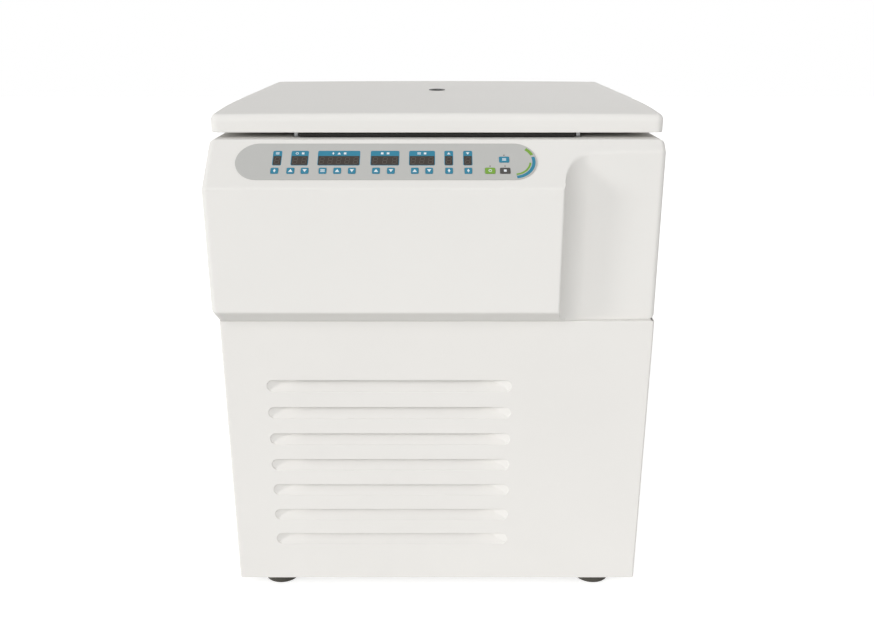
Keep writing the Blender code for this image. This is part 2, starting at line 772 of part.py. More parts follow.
def make_upper_housing():
    half = UPPER_HALF
    inner = half - SHEET
    outline = rounded([
        (-half, SEAM_HEIGHT, 0), (-half, DECK_HEIGHT, UPPER_CORNER), (half, DECK_HEIGHT, UPPER_CORNER),
        (half, SEAM_HEIGHT, 0), (inner, SEAM_HEIGHT, 0), (inner, DECK_UNDER, UPPER_CORNER - SHEET),
        (-inner, DECK_UNDER, UPPER_CORNER - SHEET), (-inner, SEAM_HEIGHT, 0),
    ])
    housing = prism("upper_housing", [outline], "xz", FASCIA_REAR + GAP, PANEL_REAR - GAP)
    well = cylinder(
        "deck_well", BOWL_OUTER + SHEET, rotor_centre(DECK_UNDER - OVERRUN),
        rotor_centre(DECK_HEIGHT + OVERRUN), BIG_SIDES,
    )
    cut(housing, well)
    for side in (-1, 1):
        reach_x = STRIKER_SHEET / 2 + STRIKER_SHEET / 2
        reach_y = STRIKER_WIDTH / 2 + STRIKER_SLOT_MARGIN
        x = side * STRIKER_OFFSET
        slot = box(
            "striker_slot",
            (x - reach_x, STRIKER_Y - reach_y, DECK_UNDER - OVERRUN),
            (x + reach_x, STRIKER_Y + reach_y, DECK_HEIGHT + OVERRUN),
        )
        cut(housing, slot)
    finish(housing, "white_paint")


# Fascia
def fascia_block(name, wall, rear):
    half = UPPER_HALF
    side = rounded([
        (rear, SEAM_HEIGHT, 0), (CABINET_FRONT, SEAM_HEIGHT, 0),
        (FASCIA_FRONT, SEAM_HEIGHT + UNDERCUT_HEIGHT, CREASE_RADIUS),
        (FASCIA_FRONT, BAND_FOOT, CREASE_RADIUS), (BAND_TOP_Y, DECK_HEIGHT, CREASE_RADIUS),
        (rear, DECK_HEIGHT, 0),
    ])
    plan = rounded([
        (half, rear, 0), (-half, rear, 0), (-half, FASCIA_FRONT, UPPER_CORNER), (0.0, FASCIA_FRONT, 0),
    ])[:-1]
    plan += arc((COVE_START + COVE_RADIUS, FASCIA_FRONT), COVE_RADIUS, pi, pi / 2, 2 * ARC_STEPS)
    plan += arc((half - UPPER_CORNER, RECESS_Y + UPPER_CORNER), UPPER_CORNER, -pi / 2, 0.0, ARC_STEPS)
    block = prism(name, [inset(side, wall)], "yz", -UPPER_WIDTH, UPPER_WIDTH)
    keep_common(block, prism(name + "_plan", [inset(plan, wall)], "xy", 0.0, DECK_HEIGHT + OVERRUN))
    return block


def slope_matrix():
    up = Vector((0.0, BAND_RUN, BAND_RISE)) / BAND_LENGTH
    out = Vector((1.0, 0.0, 0.0)).cross(up)
    columns = (Vector((1.0, 0.0, 0.0)), up, out, Vector((0.0, FASCIA_FRONT, BAND_FOOT)))
    return Matrix([[*(column[i] for column in columns)] for i in range(3)] + [[0, 0, 0, 1]])


def panel_x(share):
    return PANEL_LEFT + PANEL_WIDTH * share


def panel_s(share):
    return PANEL_FOOT + PANEL_HEIGHT * share


def key_place(name):
    row = ENTER_ROW_SHARE if name == "key_enter" else KEY_ROW_SHARE
    width = WIDE_KEY if name in WIDE_KEYS else KEY_SIZE
    return panel_x(KEY_SHARES[KEY_NAMES.index(name)]), panel_s(row), width


def slope_prism(name, outlines, low, high):
    thing = prism(name, outlines, "xy", low, high)
    thing.data.transform(slope_matrix())
    return thing


def control_field():
    # The stretch of the band that holds every key and display
    left = min(panel_x(WINDOW_SHARES[0][0]), key_place("key_program")[0] - KEY_SIZE / 2)
    right = key_place("key_stop")[0] + WIDE_KEY / 2
    foot = panel_s(KEY_ROW_SHARE) - KEY_SIZE / 2
    top = panel_s(WINDOW_ROW_SHARE) + WINDOW_HEIGHT / 2
    return left, right, foot, top


def field_outline(margin):
    left, right, foot, top = control_field()
    width = right - left + 2 * margin
    height = top - foot + 2 * margin
    return rectangle((left + right) / 2, (foot + top) / 2, width, height)


def make_fascia():
    fascia = fascia_block("fascia", 0.0, FASCIA_REAR)
    cut(fascia, fascia_block("fascia_hollow", FASCIA_WALL, FASCIA_REAR + FASCIA_WALL + OVERRUN))
    window = slope_prism("panel_window", [field_outline(BOARD_SHEET)], -FASCIA_WALL - OVERRUN, OVERRUN)
    cut(fascia, window)
    finish(fascia, "white_moulding")


def make_control_panel():
    outline = [
        (panel_x(0.5) + u, panel_s(0.5) + v)
        for u, v in stadium(PANEL_WIDTH, PANEL_HEIGHT, 3 * ARC_STEPS)
    ]
    outlines = [outline]
    for name in KEY_NAMES:
        x, s, width = key_place(name)
        outlines.append(rectangle(x, s, width + 2 * GAP, KEY_SIZE + 2 * GAP))
    finish(slope_prism("control_overlay", outlines, GAP, GAP + PANEL_SHEET), "panel_grey")


def make_control_board():
    front = -FASCIA_WALL - GAP
    board = slope_prism("control_board", [field_outline(BOARD_MARGIN)], front - BOARD_SHEET, front)
    for start, end in WINDOW_SHARES:
        middle = (panel_x(start) + panel_x(end)) / 2
        width = panel_x(end) - panel_x(start)
        outline = rectangle(middle, panel_s(WINDOW_ROW_SHARE), width, WINDOW_HEIGHT)
        join(board, slope_prism("display_module", [outline], front - BOARD_SHEET / 2, -GAP))
    finish(board, "board_green")


def make_keys():
    back = -FASCIA_WALL + KEY_TRAVEL
    front = GAP + PANEL_SHEET + KEY_PROUD
    looks = {"key_start": "green_key", "key_stop": "grey_key"}
    for name in KEY_NAMES:
        x, s, width = key_place(name)
        key = prism(name, [rectangle(0.0, 0.0, width, KEY_SIZE)], "xy", back, front)
        key.matrix_world = slope_matrix() @ Matrix.Translation((x, s, 0.0))
        finish(key, looks.get(name, "teal_key"))


# Lid
def lid_block(name, wall, foot):
    crown_foot = LID_TOP - LID_ROLL_DROP
    front_top = LID_FRONT + LID_EDGE_RADIUS
    steps = 2 * ARC_STEPS
    shoulder = crown_foot - LID_FACE_TOP
    front_arc = [
        (front_top - LID_EDGE_RADIUS * cos(a), LID_FACE_TOP + shoulder * sin(a))
        for a in [pi / 2 * i / ARC_STEPS for i in range(ARC_STEPS + 1)]
    ]
    roll = []
    for i in range(1, steps + 1):
        share = i / steps
        drop = LID_ROLL_DROP * (1 - share) ** 2
        roll.append((front_top + LID_ROLL_LENGTH * share, LID_TOP - drop))
    side = [(LID_REAR, foot), (LID_FRONT, foot)] + front_arc + roll
    rear_centre = (LID_REAR - LID_EDGE_RADIUS, LID_TOP - LID_EDGE_RADIUS)
    side += arc(rear_centre, LID_EDGE_RADIUS, pi / 2, 0.0, ARC_STEPS)
    half = UPPER_HALF
    edge = LID_EDGE_RADIUS
    edge_z = LID_TOP - LID_CROWN - edge
    crown = []
    for i in range(1, steps):
        share = 2 * i / steps - 1
        crown.append((-(half - edge) * share, LID_TOP - LID_CROWN * share ** 2))
    front = [(-half, foot), (half, foot)]
    front += arc((half - edge, edge_z), edge, 0.0, pi / 2, ARC_STEPS)
    front += crown
    front += arc((-half + edge, edge_z), edge, pi / 2, pi, ARC_STEPS)
    plan = rounded([
        (-half, LID_FRONT, LID_CORNER), (half, LID_FRONT, LID_CORNER),
        (half, LID_REAR, LID_CORNER), (-half, LID_REAR, LID_CORNER),
    ])
    block = prism(name, [inset(side, wall)], "yz", -UPPER_WIDTH, UPPER_WIDTH)
    across = prism(name + "_across", [inset(front, wall)], "xz", -UPPER_WIDTH, UPPER_WIDTH)
    around = prism(name + "_around", [inset(plan, wall)], "xy", 0.0, LID_TOP + OVERRUN)
    keep_common(block, across, around)
    return block


def port_hole(name, low, high):
    radius = PORT_TUBE_RADIUS + GAP
    return cylinder(name, radius, rotor_centre(low), rotor_centre(high), ROUND_SIDES)


def make_lid_shell():
    shell = lid_block("lid_shell", 0.0, LID_BOTTOM)
    cut(shell, lid_block("lid_hollow", LID_WALL, LID_BOTTOM - LID_WALL - OVERRUN))
    cut(shell, port_hole("shell_port", LID_BOTTOM, LID_TOP + OVERRUN))
    for side in (-1, 1):
        x = side * HINGE_OFFSET
        half = HINGE_KNUCKLE / 2 + GAP
        notch = box(
            "arm_notch",
            (x - half, LID_REAR - 2 * LID_WALL, LID_BOTTOM - OVERRUN),
            (x + half, LID_REAR + OVERRUN, HINGE_Z + GAP + HINGE_BAR_SHEET / 2),
        )
        cut(shell, notch)
    finish(shell, "white_moulding")


def make_lid_liner():
    margin = LID_WALL + GAP
    outline = rounded([
        (-UPPER_HALF + margin, LID_FRONT + margin, LID_CORNER - margin),
        (UPPER_HALF - margin, LID_FRONT + margin, LID_CORNER - margin),
        (UPPER_HALF - margin, LID_REAR - margin, LID_CORNER - margin),
        (-UPPER_HALF + margin, LID_REAR - margin, LID_CORNER - margin),
    ])
    holes = [circle((0.0, ROTOR_Y), PORT_TUBE_RADIUS + GAP, ROUND_SIDES)]
    for side in (-1, 1):
        width = STRIKER_SHEET + 2 * GAP
        holes.append(rectangle(side * STRIKER_OFFSET, STRIKER_Y, width, STRIKER_WIDTH + 2 * GAP))
    liner = prism("lid_liner", [outline] + holes, "xy", LID_BOTTOM, LID_BOTTOM + LINER_SHEET)
    finish(liner, "inner_paint")


def make_sight_port():
    top = LID_TOP + GAP
    tube_foot = LID_BOTTOM
    seat = top - PORT_GLASS
    profile = [
        (PORT_BORE, top + PORT_RIM),
        (PORT_RADIUS - PORT_RIM, top + PORT_RIM),
        (PORT_RADIUS, top + PORT_RIM / 2),
        (PORT_RADIUS, top),
        (PORT_TUBE_RADIUS, top),
        (PORT_TUBE_RADIUS, tube_foot),
        (PORT_BORE - PORT_RIM, tube_foot),
        (PORT_BORE - PORT_RIM, seat),
        (PORT_BORE, seat),
    ]
    finish(turned("sight_bezel", profile, (0.0, ROTOR_Y), ROUND_SIDES, closed=True), "black_plastic")
    low = rotor_centre(seat + GAP)
    high = rotor_centre(top + PORT_RIM / 2)
    finish(cylinder("sight_glass", PORT_BORE - GAP, low, high, ROUND_SIDES), "clear_glass")


def hinge_cylinder(name, radius, start, end, sides):
    return cylinder(name, radius, (start, HINGE_Y, HINGE_Z), (end, HINGE_Y, HINGE_Z), sides)


def make_hinge():
    reach = HINGE_OFFSET + HINGE_KNUCKLE / 2
    bar_low = LID_BOTTOM + LINER_SHEET + GAP
    bar_rear = LID_REAR - LID_WALL - GAP
    frame = box(
        "lid_hinge_frame",
        (-reach, bar_rear - HINGE_BAR_DEPTH, bar_low),
        (reach, bar_rear, bar_low + HINGE_BAR_SHEET),
    )
    strip_top = DECK_HEIGHT + GAP + HINGE_STRIP
    lug_span = HINGE_LUG + GAP
    strip_half = reach + lug_span
    bracket = box(
        "hinge_bracket",
        (-strip_half, HINGE_Y - HINGE_STRIP_DEPTH / 2, DECK_HEIGHT + GAP),
        (strip_half, HINGE_Y + HINGE_STRIP_DEPTH / 2, strip_top),
    )
    bore = HINGE_PIN_RADIUS + GAP
    for side in (-1, 1):
        x = side * HINGE_OFFSET
        half = HINGE_KNUCKLE / 2
        arm = box(
            "hinge_arm",
            (x - half, bar_rear - HINGE_BAR_SHEET, HINGE_Z - HINGE_BAR_SHEET / 2),
            (x + half, HINGE_Y, HINGE_Z + HINGE_BAR_SHEET / 2),
        )
        riser = box(
            "hinge_riser",
            (x - half, bar_rear - HINGE_BAR_SHEET, bar_low + HINGE_BAR_SHEET / 2),
            (x + half, bar_rear, HINGE_Z + HINGE_BAR_SHEET / 2),
        )
        knuckle = hinge_cylinder("hinge_knuckle", HINGE_RADIUS, x - half, x + half, ROUND_SIDES)
        join(frame, riser, arm, knuckle)
        for near in (-1, 1):
            start = x + near * (half + GAP)
            end = start + near * HINGE_LUG
            lug = hinge_cylinder("hinge_lug", HINGE_RADIUS, min(start, end), max(start, end), ROUND_SIDES)
            foot = box(
                "hinge_lug_foot",
                (min(start, end), HINGE_Y - HINGE_RADIUS * HINGE_FOOT_SHARE, strip_top - HINGE_STRIP / 2),
                (max(start, end), HINGE_Y + HINGE_RADIUS * HINGE_FOOT_SHARE, HINGE_Z),
            )
            join(bracket, lug, foot)
    long_bore = strip_half + OVERRUN
    cut(frame, hinge_cylinder("frame_bore", bore, -long_bore, long_bore, SMALL_SIDES))
    cut(bracket, hinge_cylinder("bracket_bore", bore, -long_bore, long_bore, SMALL_SIDES))
    finish(move_origin(frame, (0.0, HINGE_Y, HINGE_Z)), "zinc_steel")
    finish(bracket, "zinc_steel")
    end = strip_half + HINGE_END
    finish(hinge_cylinder("hinge_shaft", HINGE_PIN_RADIUS, -end, end, SMALL_SIDES), "stainless")


def make_lock():
    bar_low = LID_BOTTOM + LINER_SHEET + GAP
    reach = STRIKER_OFFSET + STRIKER_WIDTH / 2
    striker = box(
        "lid_striker_bar",
        (-reach, STRIKER_Y - STRIKER_WIDTH / 2, bar_low),
        (reach, STRIKER_Y + STRIKER_WIDTH / 2, bar_low + STRIKER_SHEET / 2),
    )
    case_top = LOCK_HEIGHT + LOCK_CASE_HEIGHT / 2
    inner = STRIKER_OFFSET - STRIKER_SHEET - LOCK_CASE_LENGTH
    unit = box(
        "lock_unit",
        (-inner - SHEET, STRIKER_Y - LOCK_CASE_DEPTH / 4, case_top - LOCK_BAR_HEIGHT),
        (inner + SHEET, STRIKER_Y + LOCK_CASE_DEPTH / 4, case_top),
    )
    for side, word in ((-1, "left"), (1, "right")):
        x = side * STRIKER_OFFSET
        half = STRIKER_SHEET / 2
        tongue = box(
            "striker_tongue",
            (x - half, STRIKER_Y - STRIKER_WIDTH / 2, LID_BOTTOM - STRIKER_REACH),
            (x + half, STRIKER_Y + STRIKER_WIDTH / 2, bar_low + STRIKER_SHEET / 4),
        )
        join(striker, tongue)
        hole = cylinder(
            "striker_hole", LOCK_HOLE_RADIUS, (x - STRIKER_SHEET, STRIKER_Y, LOCK_HEIGHT),
            (x + STRIKER_SHEET, STRIKER_Y, LOCK_HEIGHT), SMALL_SIDES,
        )
        cut(striker, hole)
        ends = sorted((side * inner, side * (inner + LOCK_CASE_LENGTH)))
        case = box(
            "lock_case",
            (ends[0], STRIKER_Y - LOCK_CASE_DEPTH / 2, LOCK_HEIGHT - LOCK_CASE_HEIGHT / 2),
            (ends[1], STRIKER_Y + LOCK_CASE_DEPTH / 2, case_top),
        )
        join(unit, case)
        tip = side * (STRIKER_OFFSET - STRIKER_SHEET / 2 - GAP)
        tail = tip - side * LOCK_BOLT_LENGTH
        bore = cylinder(
            "lock_bore", LOCK_BOLT_RADIUS + GAP, (tail - side * GAP, STRIKER_Y, LOCK_HEIGHT),
            (tip + side * OVERRUN, STRIKER_Y, LOCK_HEIGHT), SMALL_SIDES,
        )
        cut(unit, bore)
        bolt = cylinder(
            "lock_bolt_" + word, LOCK_BOLT_RADIUS, (tail, STRIKER_Y, LOCK_HEIGHT),
            (tip, STRIKER_Y, LOCK_HEIGHT), SMALL_SIDES,
        )
        finish(move_origin(bolt, (tip, STRIKER_Y, LOCK_HEIGHT)), "stainless")
    finish(striker, "zinc_steel")
    finish(unit, "black_paint")


# Rotor chamber
def make_bowl():
    corner = arc(
        (BOWL_RADIUS - BOWL_CORNER, BOWL_FLOOR + BOWL_CORNER), BOWL_CORNER, 0.0, -pi / 2, ARC_STEPS,
    )
    inside = [(BOWL_RADIUS, FLANGE_TOP)] + corner
    inside += [(BOWL_MOUTH_RADIUS, BOWL_FLOOR), (BOWL_MOUTH_RADIUS, BOWL_FLOOR + BOWL_COLLAR)]
    under = BOWL_FLOOR - BOWL_SHEET
    outer_corner = arc(
        (BOWL_RADIUS - BOWL_CORNER, BOWL_FLOOR + BOWL_CORNER), BOWL_CORNER + BOWL_SHEET,
        -pi / 2, 0.0, ARC_STEPS,
    )
    mouth = BOWL_MOUTH_RADIUS - BOWL_SHEET
    outside = [(mouth, BOWL_FLOOR + BOWL_COLLAR), (mouth, under)] + outer_corner
    outside += [
        (BOWL_OUTER, FLANGE_TOP - BOWL_SHEET),
        (BOWL_RADIUS + BOWL_FLANGE, FLANGE_TOP - BOWL_SHEET),
        (BOWL_RADIUS + BOWL_FLANGE, FLANGE_TOP),
    ]
    profile = (inside + outside)[::-1]
    finish(turned("chamber_bowl", profile, (0.0, ROTOR_Y), BIG_SIDES, closed=True), "stainless")


def make_gasket():
    foot = FLANGE_TOP + GAP
    top = LID_BOTTOM - GAP
    middle = GASKET_INNER + GASKET_WIDTH / 2
    quarter = GASKET_WIDTH / 4
    shoulder = foot + (top - foot) / 2
    profile = [
        (middle - quarter, top),
        (middle + quarter, top),
        (GASKET_INNER + GASKET_WIDTH, shoulder),
        (GASKET_INNER + GASKET_WIDTH, foot),
        (GASKET_INNER, foot),
        (GASKET_INNER, shoulder),
    ]
    finish(turned("chamber_gasket", profile, (0.0, ROTOR_Y), BIG_SIDES, closed=True), "black_rubber")


def channel_point(radius, height, sideways):
    return (
        radius * cos(CHANNEL_ANGLE) - sideways * sin(CHANNEL_ANGLE),
        ROTOR_Y + radius * sin(CHANNEL_ANGLE) + sideways * cos(CHANNEL_ANGLE),
        height,
    )


def channel_block(name, low, high):
    reach = FOAM_INNER + 3 * COIL_TUBE
    block = box(
        name,
        (BOWL_OUTER - BOWL_CORNER, -CHANNEL_WIDTH / 2, low),
        (reach, CHANNEL_WIDTH / 2, high),
    )
    turn = Matrix.Translation((0.0, ROTOR_Y, 0.0)) @ Matrix.Rotation(CHANNEL_ANGLE, 4, "Z")
    block.data.transform(turn)
    return block


def make_insulation():
    foot = PLATE_TOP + GAP
    top = DECK_UNDER - GAP
    floor_top = BOWL_FLOOR - BOWL_SHEET - GAP
    profile = [
        (FOAM_INNER, top), (FOAM_RADIUS, top), (FOAM_RADIUS, foot), (FOAM_INNER, foot),
        (FOAM_INNER, FOAM_FLOOR_LOW), (FOAM_MOUTH, FOAM_FLOOR_LOW), (FOAM_MOUTH, floor_top),
        (FOAM_INNER, floor_top),
    ]
    foam = turned("chamber_insulation", profile, (0.0, ROTOR_Y), BIG_SIDES, closed=True)
    cut(foam, channel_block("foam_channel", foot - OVERRUN, top + OVERRUN))
    finish(foam, "foam")


def line_places():
    # Two pipes share the channel: the feed under the coil, the return outside it
    spread = CHANNEL_WIDTH / 4
    feed = (COIL_RADIUS, spread)
    back = (FOAM_INNER + COIL_TUBE + GAP, -spread)
    return feed, back


def condenser_port(depth_share, height):
    side = LOUVRE_CENTRE_X - CONDENSER_WIDTH / 2
    return side, CONDENSER_FRONT + CONDENSER_DEPTH * depth_share, height


def make_coil():
    feed, back = line_places()
    bend = 2 * COIL_TUBE
    foot = BOWL_FLOOR + BOWL_CORNER / 2
    line_z = SEAM_HEIGHT - CHANNEL_WIDTH
    side, y, low = condenser_port(FEED_SHARE, FAN_HEIGHT)
    start = channel_point(feed[0], line_z, feed[1])
    points = [
        (side - GAP, y, low), (side - bend, y, low), (side - 2 * bend, y, low + bend),
        (side - 2 * bend, y, line_z - bend), (side - bend, y + bend, line_z),
        (start[0] - bend, start[1] - bend, line_z), (start[0], start[1], line_z + bend),
        (start[0], start[1], foot - bend),
    ]
    first = CHANNEL_ANGLE + feed[1] / feed[0]
    last = CHANNEL_ANGLE + back[1] / COIL_RADIUS + 2 * pi * COIL_TURNS
    count = COIL_TURNS * COIL_POINTS
    for i in range(count + 1):
        angle = first + (last - first) * i / count
        height = foot + COIL_PITCH * i / COIL_POINTS
        points.append((COIL_RADIUS * cos(angle), ROTOR_Y + COIL_RADIUS * sin(angle), height))
    top = points[-1][2]
    down = channel_point(back[0], 0.0, back[1])
    port_y = COMPRESSOR_Y - COMPRESSOR_RADIUS / 2
    points += [
        (down[0], down[1], top + COIL_TUBE), (down[0], down[1], line_z + bend),
        (down[0], down[1] + bend, line_z), (COMPRESSOR_X, port_y - bend, line_z),
        (COMPRESSOR_X, port_y, line_z - bend),
        (COMPRESSOR_X, port_y, COMPRESSOR_TOP + COMPRESSOR_PORT_LENGTH + GAP),
    ]
    finish(tube("evaporator_coil", points, COIL_TUBE, 1), "copper")


def make_motor_plate():
    half = UPPER_HALF - SHEET - GAP
    low_y = FASCIA_REAR + GAP
    outline = [(-half, low_y), (half, low_y), (half, PANEL_REAR - GAP), (-half, PANEL_REAR - GAP)]
    hole = circle((0.0, ROTOR_Y), MOTOR_RADIUS + MOTOR_SWAY, 2 * ROUND_SIDES)
    plate = prism("motor_plate", [outline, hole], "xy", SEAM_HEIGHT, PLATE_TOP)
    cut(plate, channel_block("plate_channel", SEAM_HEIGHT - OVERRUN, PLATE_TOP + OVERRUN))
    finish(plate, "zinc_steel")


def make_motor():
    seat = MOTOR_SEAT
    flange_top = seat + MOTOR_FLANGE
    nose_top = flange_top + MOTOR_NOSE
    foot = seat - MOTOR_LENGTH
    edge = MOTOR_FLANGE
    bore = SHAFT_RADIUS + GAP
    profile = [
        (0.0, nose_top - MOTOR_BORE_DEPTH), (bore, nose_top - MOTOR_BORE_DEPTH), (bore, nose_top),
        (MOTOR_NOSE_RADIUS, nose_top), (MOTOR_NOSE_RADIUS, flange_top),
        (MOTOR_FLANGE_RADIUS, flange_top), (MOTOR_FLANGE_RADIUS, seat), (MOTOR_RADIUS, seat),
        (MOTOR_RADIUS, foot + edge), (MOTOR_RADIUS - edge, foot), (0.0, foot),
    ]
    finish(turned("drive_motor", profile, (0.0, ROTOR_Y), 2 * ROUND_SIDES), "black_casing")
    low = PLATE_TOP + GAP
    high = low + ISOLATOR_HEIGHT
    inner = MOTOR_RADIUS + 2 * MOTOR_SWAY
    waist = (MOTOR_FLANGE_RADIUS - inner) / 6
    profile = [
        (inner, high), (MOTOR_FLANGE_RADIUS, high), (MOTOR_FLANGE_RADIUS - waist, (low + high) / 2),
        (MOTOR_FLANGE_RADIUS, low), (inner, low), (inner + waist, (low + high) / 2),
    ]
    isolator = turned("motor_isolator", profile, (0.0, ROTOR_Y), 2 * ROUND_SIDES, closed=True)
    finish(isolator, "black_rubber")


# Rotor and buckets
def make_rotor():
    nose_top = MOTOR_SEAT + MOTOR_FLANGE + MOTOR_NOSE
    shaft_foot = nose_top - MOTOR_BORE_DEPTH + GAP
    tip = NUT_FOOT + NUT_HEIGHT / 2
    step = PIVOT_HEIGHT
    profile = [
        (0.0, tip), (SHAFT_TIP_RADIUS, tip), (SHAFT_TIP_RADIUS, step), (SHAFT_RADIUS, step),
        (SHAFT_RADIUS, shaft_foot), (0.0, shaft_foot),
    ]
    finish(turned("drive_shaft", profile, (0.0, ROTOR_Y), ROUND_SIDES), "stainless")
    hub_bore = SHAFT_RADIUS + GAP
    tip_bore = SHAFT_TIP_RADIUS + GAP
    profile = [
        (tip_bore, HUB_TOP), (HUB_RADIUS, HUB_TOP), (HUB_RADIUS, HUB_FOOT), (hub_bore, HUB_FOOT),
        (hub_bore, step + GAP), (tip_bore, step + GAP),
    ]
    yoke = turned("rotor_yoke", profile, (0.0, 0.0), ROUND_SIDES, closed=True)
    corner = PIVOT_RADIUS + ARM_END
    pin_end = EAR_FACE - EAR_DEPTH / 2
    for i in range(BUCKET_COUNT):
        turn = Matrix.Rotation(2 * pi * i / BUCKET_COUNT + pi / BUCKET_COUNT, 4, "Z")
        back = Matrix.Rotation(-pi / BUCKET_COUNT, 4, "Z")
        reach = (PIVOT_RADIUS + ARM_END / 2) * sqrt(2)
        arm = box(
            "rotor_arm",
            (HUB_RADIUS - ARM_END / 2, -ARM_WIDTH / 2, PIVOT_HEIGHT - ARM_HEIGHT / 2),
            (reach, ARM_WIDTH / 2, PIVOT_HEIGHT + ARM_HEIGHT / 2),
        )
        arm.data.transform(turn)
        low = PIVOT_RADIUS - ARM_END
        end = box(
            "rotor_arm_end",
            (low, low, PIVOT_HEIGHT - ARM_HEIGHT / 2 - SHEET),
            (corner, corner, PIVOT_HEIGHT + ARM_HEIGHT / 2 + SHEET),
        )
        end.data.transform(turn @ back)
        pin_a = cylinder(
            "rotor_pin", PIN_RADIUS, (PIVOT_RADIUS, pin_end, PIVOT_HEIGHT),
            (PIVOT_RADIUS, PIVOT_RADIUS, PIVOT_HEIGHT), SMALL_SIDES,
        )
        pin_a.data.transform(turn @ back)
        pin_b = cylinder(
            "rotor_pin", PIN_RADIUS, (pin_end, PIVOT_RADIUS, PIVOT_HEIGHT),
            (PIVOT_RADIUS, PIVOT_RADIUS, PIVOT_HEIGHT), SMALL_SIDES,
        )
        pin_b.data.transform(turn @ back)
        join(yoke, arm, end, pin_a, pin_b)
    yoke.location = (0.0, ROTOR_Y, 0.0)
    for boolean in yoke.modifiers:
        if boolean.type == "BOOLEAN":
            boolean.object.location = (0.0, ROTOR_Y, 0.0)
    bore_low = rotor_centre(HUB_FOOT - OVERRUN)
    cut(yoke, cylinder("yoke_bore", hub_bore, bore_low, rotor_centre(step + GAP), ROUND_SIDES))
    finish(yoke, "cast_aluminium")
    profile = [
        (0.0, NUT_FOOT + NUT_HEIGHT), (NUT_RADIUS - SHEET, NUT_FOOT + NUT_HEIGHT),
        (NUT_RADIUS, NUT_FOOT + NUT_HEIGHT - SHEET), (NUT_RADIUS, NUT_FOOT), (tip_bore, NUT_FOOT),
        (tip_bore, tip + GAP), (0.0, tip + GAP),
    ]
    finish(turned("rotor_nut", profile, (0.0, ROTOR_Y), SMALL_SIDES), "black_plastic")


def make_buckets():
    top = BUCKET_RISE
    foot = top - BUCKET_HEIGHT
    inner = BUCKET_RADIUS - BUCKET_WALL
    base = foot + BUCKET_FLOOR
    edge = BUCKET_FLOOR
    profile = [
        (0.0, base), (inner - edge, base), (inner, base + edge), (inner, top),
        (BUCKET_RADIUS, top), (BUCKET_RADIUS, foot + edge), (BUCKET_RADIUS - edge, foot), (0.0, foot),
    ]
    for i in range(BUCKET_COUNT):
        angle = 2 * pi * i / BUCKET_COUNT
        bucket = turned("bucket_" + str(i + 1), profile, (0.0, 0.0), ROUND_SIDES)
        ears = []
        for side in (-1, 1):
            ends = sorted((side * (BUCKET_RADIUS - EAR_ROOT), side * EAR_FACE))
            ear = box(
                "bucket_ear", (-EAR_WIDTH / 2, ends[0], -EAR_DROP), (EAR_WIDTH / 2, ends[1], EAR_RISE),
            )
            hook = side * EAR_FACE + side * OVERRUN
            notch_ends = sorted((side * (BUCKET_RADIUS + GAP), hook))
            radius = PIN_RADIUS + GAP
            seat = arc((0.0, 0.0), radius, 0.0, pi, 2 * ARC_STEPS)
            seat += [(-radius, -EAR_DROP - OVERRUN), (radius, -EAR_DROP - OVERRUN)]
            notch = prism("ear_notch", [seat], "xz", notch_ends[0], notch_ends[1])
            join(bucket, ear)
            ears += [ear, notch]
            cut(bucket, notch)
        hollow = cylinder(
            "bucket_hollow", inner, (0.0, 0.0, base + edge), (0.0, 0.0, top + OVERRUN), ROUND_SIDES,
        )
        cut(bucket, hollow)
        place = Matrix.Translation(rotor_centre(PIVOT_HEIGHT)) @ Matrix.Rotation(angle, 4, "Z")
        place = place @ Matrix.Translation((PIVOT_RADIUS, 0.0, 0.0))
        for piece in ears + [hollow, bucket]:
            piece.matrix_world = place
        finish(bucket, "bucket_steel")


# Cooling unit
def make_compressor():
    foot = FLOOR_TOP + GAP
    can_foot = foot + COMPRESSOR_FOOT
    dome = []
    for i in range(ARC_STEPS + 1):
        angle = pi / 2 * (1 - i / ARC_STEPS)
        dome.append((COMPRESSOR_RADIUS * cos(angle), COMPRESSOR_TOP - COMPRESSOR_DOME * (1 - sin(angle))))
    profile = dome + [
        (COMPRESSOR_RADIUS, can_foot + COMPRESSOR_FOOT),
        (COMPRESSOR_BASE_RADIUS, can_foot), (COMPRESSOR_BASE_RADIUS, foot), (0.0, foot),
    ]
    can = turned("compressor", profile, (COMPRESSOR_X, COMPRESSOR_Y), ROUND_SIDES)
    for side in (-1, 1):
        y = COMPRESSOR_Y + side * COMPRESSOR_RADIUS / 2
        port = cylinder(
            "compressor_port", COMPRESSOR_PORT, (COMPRESSOR_X, y, COMPRESSOR_TOP - COMPRESSOR_DOME),
            (COMPRESSOR_X, y, COMPRESSOR_TOP + COMPRESSOR_PORT_LENGTH), SMALL_SIDES,
        )
        join(can, port)
    finish(can, "black_casing")


def make_discharge_line():
    port_y = COMPRESSOR_Y + COMPRESSOR_RADIUS / 2
    port_top = COMPRESSOR_TOP + COMPRESSOR_PORT_LENGTH + GAP
    bend = 2 * COIL_TUBE
    high = port_top + 4 * bend
    side, y, entry = condenser_port(DISCHARGE_SHARE, FAN_HEIGHT + CONDENSER_HEIGHT / 4)
    run_x = side - 4 * bend
    points = [
        (COMPRESSOR_X, port_y, port_top), (COMPRESSOR_X, port_y, high - bend),
        (COMPRESSOR_X - bend, port_y, high), (run_x + bend, port_y, high),
        (run_x, port_y - bend, high), (run_x, y + bend, high), (run_x, y, high - bend),
        (run_x, y, entry + bend), (run_x + bend, y, entry), (side - GAP, y, entry),
    ]
    finish(tube("discharge_line", points, COIL_TUBE, 1), "copper")


